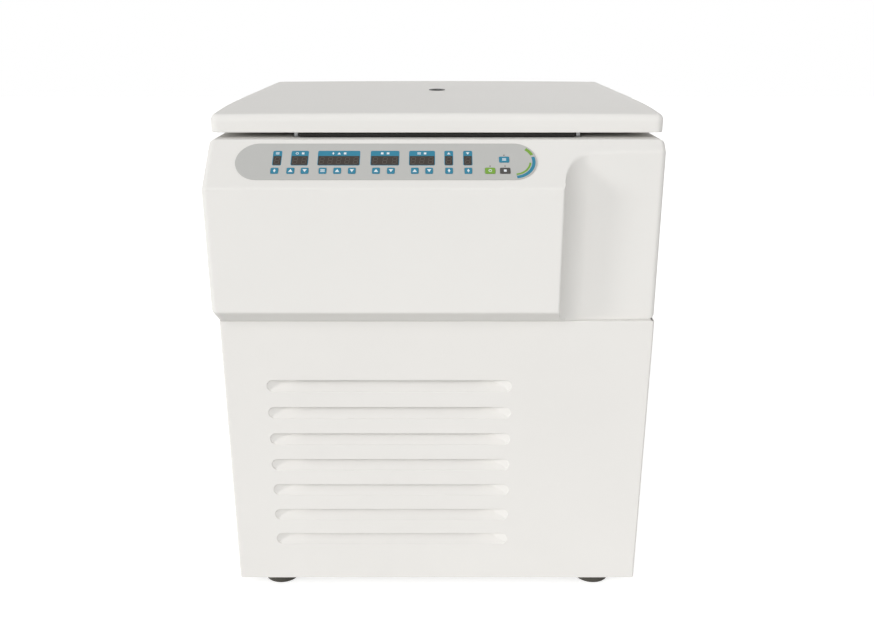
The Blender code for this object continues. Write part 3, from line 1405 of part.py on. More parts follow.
def make_condenser():
    low_x = LOUVRE_CENTRE_X - CONDENSER_WIDTH / 2
    high_x = LOUVRE_CENTRE_X + CONDENSER_WIDTH / 2
    foot = FLOOR_TOP + GAP
    top = foot + CONDENSER_HEIGHT
    rear = CONDENSER_FRONT + CONDENSER_DEPTH
    finish(box("condenser_core", (low_x, CONDENSER_FRONT, foot), (high_x, rear, top)), "cast_aluminium")
    shroud = box("fan_shroud", (low_x, SHROUD_FRONT, foot), (high_x, SHROUD_FRONT + SHROUD_SHEET, top))

    def along(name, radius, start, end, sides):
        return cylinder(
            name, radius, (LOUVRE_CENTRE_X, start, FAN_HEIGHT), (LOUVRE_CENTRE_X, end, FAN_HEIGHT), sides,
        )

    duct_front = SHROUD_FRONT + SHROUD_SHEET / 2
    join(shroud, along("duct", DUCT_RADIUS + SHROUD_SHEET, duct_front, DUCT_REAR, 2 * SMALL_SIDES))
    cut(shroud, along("duct_bore", DUCT_RADIUS, SHROUD_FRONT - OVERRUN, DUCT_REAR + OVERRUN, 2 * SMALL_SIDES))
    for angle in (pi / 4, -pi / 4):
        reach = DUCT_RADIUS + SHROUD_SHEET / 2
        spoke = box(
            "fan_spoke",
            (LOUVRE_CENTRE_X - reach, SPOKE_FRONT, FAN_HEIGHT - SPOKE_WIDTH / 2),
            (LOUVRE_CENTRE_X + reach, DUCT_REAR - SHROUD_SHEET / 4, FAN_HEIGHT + SPOKE_WIDTH / 2),
        )
        join(shroud, turn_mesh(spoke, angle, "Y", (LOUVRE_CENTRE_X, 0.0, FAN_HEIGHT)))
    motor_front = SPOKE_FRONT + SHROUD_SHEET / 4
    motor_rear = SPOKE_FRONT + FAN_MOTOR_DEPTH
    join(shroud, along("fan_motor", FAN_MOTOR_RADIUS, motor_front, motor_rear, ROUND_SIDES))
    finish(shroud, "black_paint")
    fan_rear = SPOKE_FRONT - GAP
    fan_front = fan_rear - FAN_HUB_DEPTH
    fan = along("condenser_fan", FAN_HUB_RADIUS, fan_front, fan_rear, ROUND_SIDES)
    middle = (fan_front + fan_rear) / 2
    for i in range(FAN_BLADES):
        blade = box(
            "fan_blade",
            (FAN_HUB_RADIUS - FAN_BLADE_SHEET, -FAN_BLADE_SHEET / 2, -FAN_BLADE_WIDTH / 2),
            (FAN_RADIUS - FAN_BLADE_WIDTH / 8, FAN_BLADE_SHEET / 2, FAN_BLADE_WIDTH / 2),
        )
        turn = Matrix.Rotation(2 * pi * i / FAN_BLADES, 4, "Y") @ Matrix.Rotation(FAN_BLADE_TILT, 4, "X")
        blade.data.transform(Matrix.Translation((LOUVRE_CENTRE_X, middle, FAN_HEIGHT)) @ turn)
        join(fan, blade)
    finish(move_origin(fan, (LOUVRE_CENTRE_X, middle, FAN_HEIGHT)), "black_plastic")


# Electronics
def make_drive_box():
    low = (DRIVE_BOX_LEFT, DRIVE_BOX_FRONT, FLOOR_TOP + GAP)
    top = FLOOR_TOP + GAP + DRIVE_BOX_HEIGHT
    right = DRIVE_BOX_LEFT + DRIVE_BOX_WIDTH
    rear = DRIVE_BOX_FRONT + DRIVE_BOX_DEPTH
    case = box("drive_electronics", low, (right, rear, top))
    wall = 2 * SHEET
    hollow = box(
        "electronics_hollow",
        (low[0] + wall, low[1] + wall, low[2] - OVERRUN),
        (right - wall, rear - wall, top - 2 * wall),
    )
    cut(case, hollow)
    fin = box(
        "heatsink_fin",
        (0.0, DRIVE_BOX_FRONT + HEATSINK_FIN, top - HEATSINK_FIN),
        (HEATSINK_FIN, rear - HEATSINK_FIN, top + HEATSINK_RISE),
    )
    pitch = DRIVE_BOX_WIDTH / HEATSINK_FINS
    first = DRIVE_BOX_LEFT + (pitch - HEATSINK_FIN) / 2
    offsets = [(first + pitch * i, 0.0, 0.0) for i in range(HEATSINK_FINS)]
    join(case, copies("heatsink_fins", fin, offsets))
    finish(case, "cast_aluminium")


def make_power_module():
    half_w = MODULE_WIDTH / 2
    half_h = MODULE_HEIGHT / 2
    module = box(
        "power_inlet",
        (MODULE_X - half_w, BODY_REAR + GAP, MODULE_Z - half_h),
        (MODULE_X + half_w, MODULE_FACE, MODULE_Z + half_h),
    )
    body = box(
        "module_body",
        (MODULE_X - half_w + MODULE_RIM, PANEL_REAR - MODULE_DEPTH, MODULE_Z - half_h + MODULE_RIM),
        (MODULE_X + half_w - MODULE_RIM, MODULE_FACE - MODULE_FLANGE / 2, MODULE_Z + half_h - MODULE_RIM),
    )
    join(module, body)
    socket_x = MODULE_X + SOCKET_CENTRE
    outline = rounded([
        (socket_x - SOCKET_WIDTH / 2, MODULE_Z - SOCKET_HEIGHT / 2, 0),
        (socket_x + SOCKET_WIDTH / 2, MODULE_Z - SOCKET_HEIGHT / 2, 0),
        (socket_x + SOCKET_WIDTH / 2, MODULE_Z + SOCKET_HEIGHT / 2, SOCKET_HEIGHT / 4),
        (socket_x - SOCKET_WIDTH / 2, MODULE_Z + SOCKET_HEIGHT / 2, SOCKET_HEIGHT / 4),
    ], 1)
    socket_floor = MODULE_FACE - SOCKET_DEPTH
    cut(module, prism("socket_bay", [outline], "xz", socket_floor, MODULE_FACE + OVERRUN))
    for spread, drop in ((-1, 1), (1, 1), (0, -1)):
        x = socket_x + spread * BLADE_SPREAD
        z = MODULE_Z - drop * BLADE_DROP
        blade = box(
            "inlet_blade",
            (x - BLADE_WIDTH / 2, socket_floor - BLADE_WIDTH, z - BLADE_HEIGHT / 2),
            (x + BLADE_WIDTH / 2, socket_floor + BLADE_LENGTH, z + BLADE_HEIGHT / 2),
        )
        join(module, blade)
    rocker_x = MODULE_X + ROCKER_CENTRE
    bay = box(
        "rocker_bay",
        (
            rocker_x - ROCKER_WIDTH / 2 - GAP,
            MODULE_FACE - ROCKER_BAY_DEPTH,
            MODULE_Z - ROCKER_HEIGHT / 2 - 2 * GAP,
        ),
        (
            rocker_x + ROCKER_WIDTH / 2 + GAP,
            MODULE_FACE + OVERRUN,
            MODULE_Z + ROCKER_HEIGHT / 2 + 2 * GAP,
        ),
    )
    cut(module, bay)
    finish(module, "black_plastic")
    pivot = (rocker_x, MODULE_FACE - ROCKER_SET_BACK, MODULE_Z)
    half = ROCKER_HEIGHT / 2 * cos(ROCKER_TILT)
    outline = [
        (pivot[1] - ROCKER_THICKNESS + ROCKER_DISH, MODULE_Z - half / 2),
        (pivot[1] + ROCKER_DISH, MODULE_Z - half),
        (pivot[1], MODULE_Z),
        (pivot[1] + ROCKER_DISH, MODULE_Z + half),
        (pivot[1] - ROCKER_THICKNESS + ROCKER_DISH, MODULE_Z + half / 2),
    ]
    rocker = prism("power_rocker", [outline], "yz", rocker_x - ROCKER_WIDTH / 2, rocker_x + ROCKER_WIDTH / 2)
    turn_mesh(rocker, ROCKER_TILT, "X", pivot)
    finish(move_origin(rocker, pivot), "grey_key")


# The lid's pieces hang on one empty that stands on the hinge axis
def carry_lid():
    axis = bpy.data.objects.new("lid_axis", None)
    axis.location = (0.0, HINGE_Y, HINGE_Z)
    PARTS.objects.link(axis)
    back = Matrix.Translation(axis.location).inverted()
    for name in ("lid_shell", "lid_liner", "sight_bezel", "sight_glass", "lid_striker_bar"):
        piece = bpy.data.objects[name]
        piece.parent = axis
        piece.matrix_parent_inverse = back


def main():
    make_floor()
    make_feet()
    make_cabinet()
    make_rear_panel()
    make_upper_housing()
    make_fascia()
    make_control_panel()
    make_control_board()
    make_keys()
    make_lid_shell()
    make_lid_liner()
    make_sight_port()
    make_hinge()
    make_lock()
    carry_lid()
    make_bowl()
    make_gasket()
    make_insulation()
    make_coil()
    make_motor_plate()
    make_motor()
    make_rotor()
    make_buckets()
    make_compressor()
    make_discharge_line()
    make_condenser()
    make_drive_box()
    make_power_module()


clear_scene()
PARTS = new_collection("low_speed_centrifuge")
CUTTERS = new_collection("cutters")
main()
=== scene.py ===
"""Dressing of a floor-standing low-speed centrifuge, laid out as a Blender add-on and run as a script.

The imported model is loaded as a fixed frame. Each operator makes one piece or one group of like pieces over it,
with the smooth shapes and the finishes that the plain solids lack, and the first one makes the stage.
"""

import bmesh
import bpy
import numpy as np
from bpy.props import FloatProperty, FloatVectorProperty, PointerProperty
from mathutils.geometry import tessellate_polygon
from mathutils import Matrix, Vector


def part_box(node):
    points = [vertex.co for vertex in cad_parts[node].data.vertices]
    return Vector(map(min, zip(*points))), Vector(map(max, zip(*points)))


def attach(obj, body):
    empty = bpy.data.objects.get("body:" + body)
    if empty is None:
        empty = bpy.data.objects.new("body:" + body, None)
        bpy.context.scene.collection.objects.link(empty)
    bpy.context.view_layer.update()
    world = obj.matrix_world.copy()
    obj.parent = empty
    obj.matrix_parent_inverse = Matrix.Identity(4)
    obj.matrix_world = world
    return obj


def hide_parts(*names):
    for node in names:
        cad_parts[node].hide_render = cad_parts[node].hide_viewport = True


bl_info = {
    "name": "Low-speed centrifuge",
    "version": (1, 0, 0),
    "blender": (4, 5, 0),
    "location": "3D View > Sidebar > Centrifuge",
    "description": "Dresses the packed centrifuge with smooth pieces, finishes, light and a camera",
    "category": "Object",
}

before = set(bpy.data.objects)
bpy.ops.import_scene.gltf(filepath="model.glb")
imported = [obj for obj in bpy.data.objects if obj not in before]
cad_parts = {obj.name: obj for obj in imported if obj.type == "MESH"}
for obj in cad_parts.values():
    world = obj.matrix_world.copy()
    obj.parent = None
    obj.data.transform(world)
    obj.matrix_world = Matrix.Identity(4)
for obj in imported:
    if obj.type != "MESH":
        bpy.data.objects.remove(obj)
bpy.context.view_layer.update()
PI = np.pi

# Places that several pieces share

ROTOR_Y = 0.082
PIVOT_Z = 0.665
PIVOT_RADIUS = 0.093
HINGE_X = 0.165
HINGE_Y = 0.333
HINGE_Z = 0.765
PORT_HOLE = 0.0122
SLOPE_FOOT_Z = 0.6885


# Settings a user would change


def colour(name, description, value):
    """A colour property in linear red, green and blue."""
    return FloatVectorProperty(
        name=name, description=description, subtype="COLOR", size=3, min=0.0, max=1.0, default=value
    )


def length(name, description, value):
    """A length property in metres."""
    return FloatProperty(name=name, description=description, unit="LENGTH", min=0.0, default=value)


def number(name, description, value):
    """A property without a unit."""
    return FloatProperty(name=name, description=description, default=value)


class CentrifugeColours(bpy.types.PropertyGroup):
    """Colours of the finishes that show most."""

    casing: colour("Casing", "Powder coat of the folded casings", (0.775, 0.760, 0.733))
    moulding: colour("Moulding", "Satin moulding of the lid and the front", (0.785, 0.772, 0.745))
    inner: colour("Inner paint", "Grey paint inside the cabinet", (0.60, 0.59, 0.56))
    film: colour("Panel film", "Ground of the printed panel", (0.497, 0.497, 0.480))
    teal: colour("Teal print", "Headers and keys of the panel", (0.045, 0.225, 0.335))
    green: colour("Green print", "Start key and accent", (0.195, 0.365, 0.062))
    dark: colour("Dark print", "Stop key", (0.085, 0.082, 0.078))
    window: colour("Display window", "Smoked windows of the displays", (0.062, 0.052, 0.045))
    sign: colour("Signs", "Light signs on keys and headers", (0.76, 0.80, 0.82))
    foot: colour("Foot", "Levelling feet", (0.085, 0.080, 0.070))


class CentrifugeShape(bpy.types.PropertyGroup):
    """Lengths of the smooth forms."""

    wall: length("Moulded wall", "Wall of the lid and the front moulding", 0.003)
    sheet: length("Sheet", "Sheet of the casings", 0.0015)
    lid_edge: length("Lid edge", "Radius of the lid's rolled edge", 0.0085)
    lid_front_edge: length("Lid front edge", "Height of the rolled edge at the lid's front", 0.0120)
    lid_roll: length("Lid roll", "Length over which the lid falls towards its front", 0.170)
    lid_drop: length("Lid drop", "How far the lid falls at its front", 0.0056)
    lid_crown: length("Lid crown", "How far the lid falls at its sides", 0.0015)
    lid_corner: length("Lid corner", "Radius of the lid's corners from above", 0.012)
    body_edge: length("Body edge", "Radius of the body's upper side edges", 0.009)
    crease: length("Crease", "Blend where the recess meets the sloped band", 0.004)
    louvre_lip: length("Louvre lip", "Radius of a louvre's pressed lip", 0.0016)
    louvre_ramp: number("Louvre ramp", "Rise of a louvre's end ramps over their run", 0.36)
    louvre_depth: length("Louvre depth", "Depth of a louvre at its upper edge", 0.0150)
    key_gap: length("Key gap", "Gap round a key", 0.0003)


class CentrifugeStage(bpy.types.PropertyGroup):
    """Light and view."""

    floor_glow: number("Floor glow", "White that the camera adds to the floor", 0.60)
    ambient: number("Ambient", "Strength of the even light at the horizon", 0.15)
    zenith: number("Zenith", "Strength of the even light from above", 0.52)
    key_light: number("Key light", "Strength of the main light", 1.62)
    left_light: number("Left light", "Strength of the light from the left", 0.9)
    rear_light: number("Rear light", "Strength of the light from behind", 1.3)
    key_spread: FloatProperty(
        name="Key spread", description="Angle over which the main light spreads", unit="ROTATION", default=0.80
    )
    side_light: number("Side light", "Strength of the light from the right", 0.52)
    lens: FloatProperty(name="Lens", description="Focal length", unit="CAMERA", default=36.8)


# Outlines


def fillet(corners, steps=6, closed=False):
    """A polyline through corners given as (a, b) or (a, b, radius).

    At a corner with a radius the path leaves the incoming side at radius / tan(half the angle) before the corner,
    runs on a circle about the point radius / sin(half the angle) along the bisector, and joins the next side.
    """
    points = np.array([corner[:2] for corner in corners], float)
    count = len(points)
    parts = []
    for i, corner in enumerate(corners):
        radius = corner[2] if len(corner) > 2 else 0.0
        if radius <= 0 or (not closed and i in (0, count - 1)):
            parts.append(points[i : i + 1])
            continue
        back = points[i - 1] - points[i]
        ahead = points[(i + 1) % count] - points[i]
        back /= np.hypot(*back)
        ahead /= np.hypot(*ahead)
        half = 0.5 * np.arccos(np.clip(back @ ahead, -1, 1))
        middle = points[i] + (back + ahead) / np.hypot(*(back + ahead)) * radius / np.sin(half)
        start = points[i] + back * radius / np.tan(half) - middle
        end = points[i] + ahead * radius / np.tan(half) - middle
        first = np.arctan2(start[1], start[0])
        turn = (np.arctan2(end[1], end[0]) - first + PI) % (2 * PI) - PI
        angles = first + np.linspace(0, 1, steps + 1) * turn
        parts.append(middle + radius * np.stack([np.cos(angles), np.sin(angles)], -1))
    return np.vstack(parts)


def normals_of(path, closed=True):
    """Outward normals of a counter-clockwise path, made for offsets.

    Each is the sum of its two sides' unit directions turned right, over half that sum's square, so that a step along
    it keeps the same distance from both sides.
    """
    if closed:
        ahead = np.roll(path, -1, 0) - path
        back = path - np.roll(path, 1, 0)
    else:
        ahead = np.vstack([path[1:] - path[:-1], path[-1:] - path[-2:-1]])
        back = np.vstack([path[1:2] - path[:1], path[1:] - path[:-1]])
    ahead = ahead / np.maximum(np.linalg.norm(ahead, axis=1), 1e-12)[:, None]
    back = back / np.maximum(np.linalg.norm(back, axis=1), 1e-12)[:, None]
    both = ahead + back
    both = both / np.maximum((both * both).sum(1) / 2, 0.2)[:, None]
    return np.stack([both[:, 1], -both[:, 0]], -1)


def round_rect(x0, x1, y0, y1, radius, steps=8, along_x=(), along_y=()):
    """Counter-clockwise rounded rectangle and its outward normals, with extra points along its sides.

    Each corner is a quarter circle, whose normal turns with its angle. A side's points keep the side's normal.
    """
    along_x = np.array([v for v in sorted(along_x) if x0 + radius < v < x1 - radius])
    along_y = np.array([v for v in sorted(along_y) if y0 + radius < v < y1 - radius])
    points = []
    outward = []
    sides = (
        (x1 - radius, y0 + radius, -PI / 2, np.stack([np.full(len(along_y), x1), along_y], -1), (1, 0)),
        (x1 - radius, y1 - radius, 0.0, np.stack([along_x[::-1], np.full(len(along_x), y1)], -1), (0, 1)),
        (x0 + radius, y1 - radius, PI / 2, np.stack([np.full(len(along_y), x0), along_y[::-1]], -1), (-1, 0)),
        (x0 + radius, y0 + radius, PI, np.stack([along_x, np.full(len(along_x), y0)], -1), (0, -1)),
    )
    for middle_x, middle_y, start, side, normal in sides:
        angles = start + np.linspace(0, PI / 2, steps + 1)
        way = np.stack([np.cos(angles), np.sin(angles)], -1)
        points += [np.array([middle_x, middle_y]) + radius * way, side.reshape(-1, 2)]
        outward += [way, np.tile(np.array(normal, float), (len(side), 1))]
    return np.vstack(points), np.vstack(outward)


def circle(a, b, radius, count=64, start=0.0):
    """Counter-clockwise circle about (a, b)."""
    angles = start + np.arange(count) * 2 * PI / count
    return np.stack([a + radius * np.cos(angles), b + radius * np.sin(angles)], -1)


def smoothstep(value):
    """3v squared minus 2v cubed, with v held between 0 and 1."""
    value = np.clip(value, 0, 1)
    return value * value * (3 - 2 * value)


def soft_max(a, b, blend):
    """The larger of a and b, raised by blend/4 times (1 - |a - b|/blend) squared where they are within blend."""
    near = np.maximum(blend - np.abs(a - b), 0) / np.maximum(blend, 1e-9)
    return np.maximum(a, b) + near * near * blend / 4


# Planes: an origin and three axes that carry (a, b, height) into space


def plane(origin, a, b, h):
    """An origin and three unit axes."""
    return [np.array(origin, float)] + [np.array(axis, float) / np.linalg.norm(axis) for axis in (a, b, h)]


LEVEL = plane((0, 0, 0), (1, 0, 0), (0, 1, 0), (0, 0, 1))
SLOPE = plane((0, -0.350, SLOPE_FOOT_Z), (1, 0, 0), (0, 0.068, 0.059), (0, -0.059, 0.068))


def lay(on, a, b, h):
    """The point origin + a times the first axis + b times the second + h times the third."""
    a, b, h = np.broadcast_arrays(np.asarray(a, float), np.asarray(b, float), np.asarray(h, float))
    return on[0] + a[..., None] * on[1] + b[..., None] * on[2] + h[..., None] * on[3]


# Patches: (points, list of face arrays, material number)


def grid_faces(rows, cols, close_rows=False, close_cols=False):
    """Quads between neighbouring rows and columns of a grid of points."""
    i = np.arange(rows if close_rows else rows - 1)[:, None]
    j = np.arange(cols if close_cols else cols - 1)[None, :]
    up = (i + 1) % rows
    on = (j + 1) % cols
    quads = np.stack(np.broadcast_arrays(i * cols + j, i * cols + on, up * cols + on, up * cols + j), -1)
    return quads.reshape(-1, 4)


def grid(points, close_rows=False, close_cols=False, material=0, keep=None):
    """A patch from points of shape (rows, columns, 3). keep is a test of the faces' middles."""
    rows, cols = points.shape[:2]
    flat = points.reshape(-1, 3)
    faces = grid_faces(rows, cols, close_rows, close_cols)
    if keep is not None:
        faces = faces[keep(flat[faces].mean(1))]
    return flat, [faces], material


def extruded(path, along, order):
    """A patch from a path of (a, b) carried along c: order says which of a, b and c gives x, y and z."""
    parts = np.broadcast_arrays(path[:, None, 0], path[:, None, 1], np.asarray(along, float))
    return grid(np.stack([parts[k] for k in order], -1))


def stepped(on, outline, normals, levels):
    """Rows of points: the outline at each (inset, height) of levels."""
    inset, height = np.array(levels, float).T
    path = outline[None] - normals[None] * inset[:, None, None]
    return lay(on, path[..., 0], path[..., 1], height[:, None])


def slab(on, outline, levels, material=0, normals=None):
    """A closed plate: the outline at each (inset, height) of levels, joined in rings, with a flat cap at both ends."""
    normals = normals_of(outline) if normals is None else normals
    points = stepped(on, outline, normals, levels)
    rows, cols = points.shape[:2]
    low = np.arange(cols)[None, ::-1]
    high = (rows - 1) * cols + np.arange(cols)[None, :]
    return points.reshape(-1, 3), [grid_faces(rows, cols, close_cols=True), low, high], material


def eased(low, high, ease):
    """Levels of a plate from low to high whose edges are cut back by ease at both faces."""
    return [(ease, low), (0, low + ease), (0, high - ease), (ease, high)]


def band(on, centre, inner, outer, low, high, start=0.0, turn=2 * PI, count=40, material=0):
    """A flat ring or arc: a rectangle from inner to outer radius and low to high, carried round its centre."""
    whole = turn >= 2 * PI - 1e-6
    angles = start + np.linspace(0, turn, count, endpoint=not whole)
    radius = np.array([inner, outer, outer, inner])[:, None]
    height = np.array([low, low, high, high])[:, None]
    points = lay(on, centre[0] + radius * np.cos(angles), centre[1] + radius * np.sin(angles), height + 0 * angles)
    faces = [grid_faces(4, count, close_rows=True, close_cols=whole)]
    if not whole:
        ends = np.array([[0, 1, 2, 3], [3, 2, 1, 0]]) * count + np.array([[0], [count - 1]])
        faces.append(ends)
    return points.reshape(-1, 3), faces, material


def holed(on, outline, holes, height, material=0):
    """A flat face with holes, cut into triangles between its outline and the holes."""
    loops = [outline] + list(holes)
    flat = np.vstack(loops)
    triangles = np.array(tessellate_polygon([[(p[0], p[1], 0.0) for p in loop] for loop in loops]))
    return lay(on, flat[:, 0], flat[:, 1], height), [triangles], material


def pocketed(on, outline, normals, levels, pockets, material=0):
    """A closed plate: the outline at each (inset, height) of levels, a flat back, and a face with pockets.

    Each pocket is (outline, depth): a straight wall down from the face, and a flat floor.
    """
    top = levels[-1][1]
    back, face = (outline - normals * level[0] for level in (levels[0], levels[-1]))
    patches = [
        grid(stepped(on, outline, normals, levels), close_cols=True, material=material),
        holed(on, back, [], levels[0][1], material),
        holed(on, face, [pocket for pocket, _ in pockets], top, material),
    ]
    for pocket, depth in pockets:
        wall = lay(on, pocket[None, :, 0], pocket[None, :, 1], np.array([[top], [top - depth]]))
        patches += [grid(wall, close_cols=True, material=material), holed(on, pocket, [], top - depth, material)]
    return patches


def turned(profile, centre, steps=96, axis=2, closed=False, material=0):
    """A profile of (radius, height) turned once about an axis through centre; closed joins its ends."""
    angles = np.arange(steps) * 2 * PI / steps
    radius = profile[:, 0][:, None]
    parts = [radius * np.cos(angles), radius * np.sin(angles), profile[:, 1][:, None] + 0 * angles]
    order = {2: (0, 1, 2), 0: (2, 0, 1), 1: (1, 2, 0)}[axis]
    points = np.stack([parts[k] for k in order], -1) + np.array(centre, float)
    return grid(points, close_rows=closed, close_cols=True, material=material)


def moved(patch, matrix, shift):
    """The patch's points times a 3 by 3 matrix, plus a shift."""
    return patch[0] @ np.array(matrix, float).T + np.array(shift, float), patch[1], patch[2]


# Pieces


def finish_mesh(obj, sharp):
    """Smooth shading, with edges sharper than an angle kept."""
    obj.data.shade_smooth()
    obj.data.set_sharp_from_angle(angle=np.radians(sharp))


def settle(obj):
    """Puts what the modifiers make into the mesh, and takes them off."""
    bpy.context.view_layer.update()
    graph = bpy.context.evaluated_depsgraph_get()
    done = bpy.data.meshes.new_from_object(obj.evaluated_get(graph))
    obj.modifiers.clear()
    old = obj.data
    obj.data = done
    bpy.data.meshes.remove(old)
    done.name = obj.name


def piece(name, patches, finishes, body="root", stands_for=(), wall=0.0, inner=None, sharp=34.0, even=True):
    """One named mesh object from patches.

    Doubled points are merged and normals turned outwards: the sum over the faces of (middle - inner) . normal . area
    has to be positive. wall gives an open surface its thickness, away from its outer side.
    """
    points = np.vstack([patch[0] for patch in patches])
    faces = []
    marks = []
    start = 0
    for own, groups, mark in patches:
        for group in groups:
            faces += (np.asarray(group) + start).tolist()
            marks += [mark] * len(group)
        start += len(own)
    mesh = bpy.data.meshes.new(name)
    mesh.from_pydata(points.tolist(), [], faces)
    mesh.polygons.foreach_set("material_index", marks)
    work = bmesh.new()
    work.from_mesh(mesh)
    bmesh.ops.remove_doubles(work, verts=work.verts, dist=2e-6)
    bmesh.ops.dissolve_degenerate(work, edges=work.edges, dist=1e-6)
    bmesh.ops.recalc_face_normals(work, faces=work.faces)
    work.to_mesh(mesh)
    work.free()
    mesh.update()
    count = len(mesh.polygons)
    middles = np.zeros(count * 3)
    normals = np.zeros(count * 3)
    areas = np.zeros(count)
    mesh.polygons.foreach_get("center", middles)
    mesh.polygons.foreach_get("normal", normals)
    mesh.polygons.foreach_get("area", areas)
    ref = points.mean(0) if inner is None else np.array(inner, float)
    facing = ((middles.reshape(-1, 3) - ref) * normals.reshape(-1, 3)).sum(1) @ areas
    if facing < 0:
        mesh.flip_normals()
    obj = bpy.data.objects.new(name, mesh)
    bpy.context.scene.collection.objects.link(obj)
    for finish in finishes:
        mesh.materials.append(material(finish))
    if wall:
        solid = obj.modifiers.new("wall", "SOLIDIFY")
        solid.thickness = wall
        solid.offset = -1.0
        solid.use_even_offset = even
        settle(obj)
    finish_mesh(obj, sharp)
    weighted = obj.modifiers.new("normals", "WEIGHTED_NORMAL")
    weighted.keep_sharp = True
    if stands_for:
        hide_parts(*([stands_for] if isinstance(stands_for, str) else stands_for))
    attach(obj, body)
    return obj


def span(node):
    """The lowest and highest corner of a CAD node as arrays."""
    low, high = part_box(node)
    return np.array(low), np.array(high)


def middle_of(node):
    """The middle of a CAD node's box."""
    low, high = span(node)
    return (low + high) / 2


# Finishes


NUMBER = "NodeSocketFloat"
PLACE = ("Vector", "NodeSocketVector", None)


def add_node(tree, kind, values=None, links=None, **settings):
    """A new shader node: first its settings, then its inputs' values, then its inputs' links from other sockets."""
    made = tree.nodes.new(kind)
    for name, value in settings.items():
        setattr(made, name, value)
    for socket, value in (values or {}).items():
        made.inputs[socket].default_value = value
    for socket, source in (links or {}).items():
        tree.links.new(source, made.inputs[socket])
    return made


def group_nodes(name, inputs, outputs):
    """An empty shader group with named sockets, and its input and output nodes."""
    group = bpy.data.node_groups.new(name, "ShaderNodeTree")
    for label, kind, value in inputs:
        socket = group.interface.new_socket(label, in_out="INPUT", socket_type=kind)
        if value is not None:
            socket.default_value = value
    for label, kind in outputs:
        group.interface.new_socket(label, in_out="OUTPUT", socket_type=kind)
    return group, group.nodes.new("NodeGroupInput"), group.nodes.new("NodeGroupOutput")


def grain_group():
    """Fine grain and broad mottle of a painted, moulded or rubber surface, from two noises on the same vector."""
    group, source, out = group_nodes(
        "surface_grain", (PLACE, ("Grain scale", NUMBER, 900.0), ("Mottle scale", NUMBER, 7.0)),
        (("Grain", NUMBER), ("Mottle", NUMBER)),
    )
    for label, detail in (("Grain", 2.0), ("Mottle", 4.0)):
        noise = add_node(
            group, "ShaderNodeTexNoise", {"Detail": detail},
            {"Vector": source.outputs["Vector"], "Scale": source.outputs[label + " scale"]},
        )
        group.links.new(noise.outputs["Fac"], out.inputs[label])
    return group


def rings_group():
    """Turning marks: noise of the distance from the axis and of the height, hardly changing round the axis."""
    group, source, out = group_nodes("turning_marks", (PLACE, ("Scale", NUMBER, 700.0)), (("Marks", NUMBER),))
    split = add_node(group, "ShaderNodeSeparateXYZ", links={0: source.outputs["Vector"]})
    flat = add_node(group, "ShaderNodeCombineXYZ", links={"X": split.outputs["X"], "Y": split.outputs["Y"]})
    reach = add_node(group, "ShaderNodeVectorMath", links={0: flat.outputs[0]}, operation="LENGTH")
    slow = add_node(group, "ShaderNodeMath", {1: 0.02}, {0: split.outputs["X"]}, operation="MULTIPLY")
    join = add_node(
        group, "ShaderNodeCombineXYZ",
        links={"X": reach.outputs["Value"], "Y": split.outputs["Z"], "Z": slow.outputs[0]},
    )
    noise = add_node(
        group, "ShaderNodeTexNoise", {"Detail": 3.0}, {"Vector": join.outputs[0], "Scale": source.outputs["Scale"]}
    )
    group.links.new(noise.outputs["Fac"], out.inputs["Marks"])
    return group


def shared_group(name, make):
    """The group of that name, made once."""
    return bpy.data.node_groups.get(name) or make()


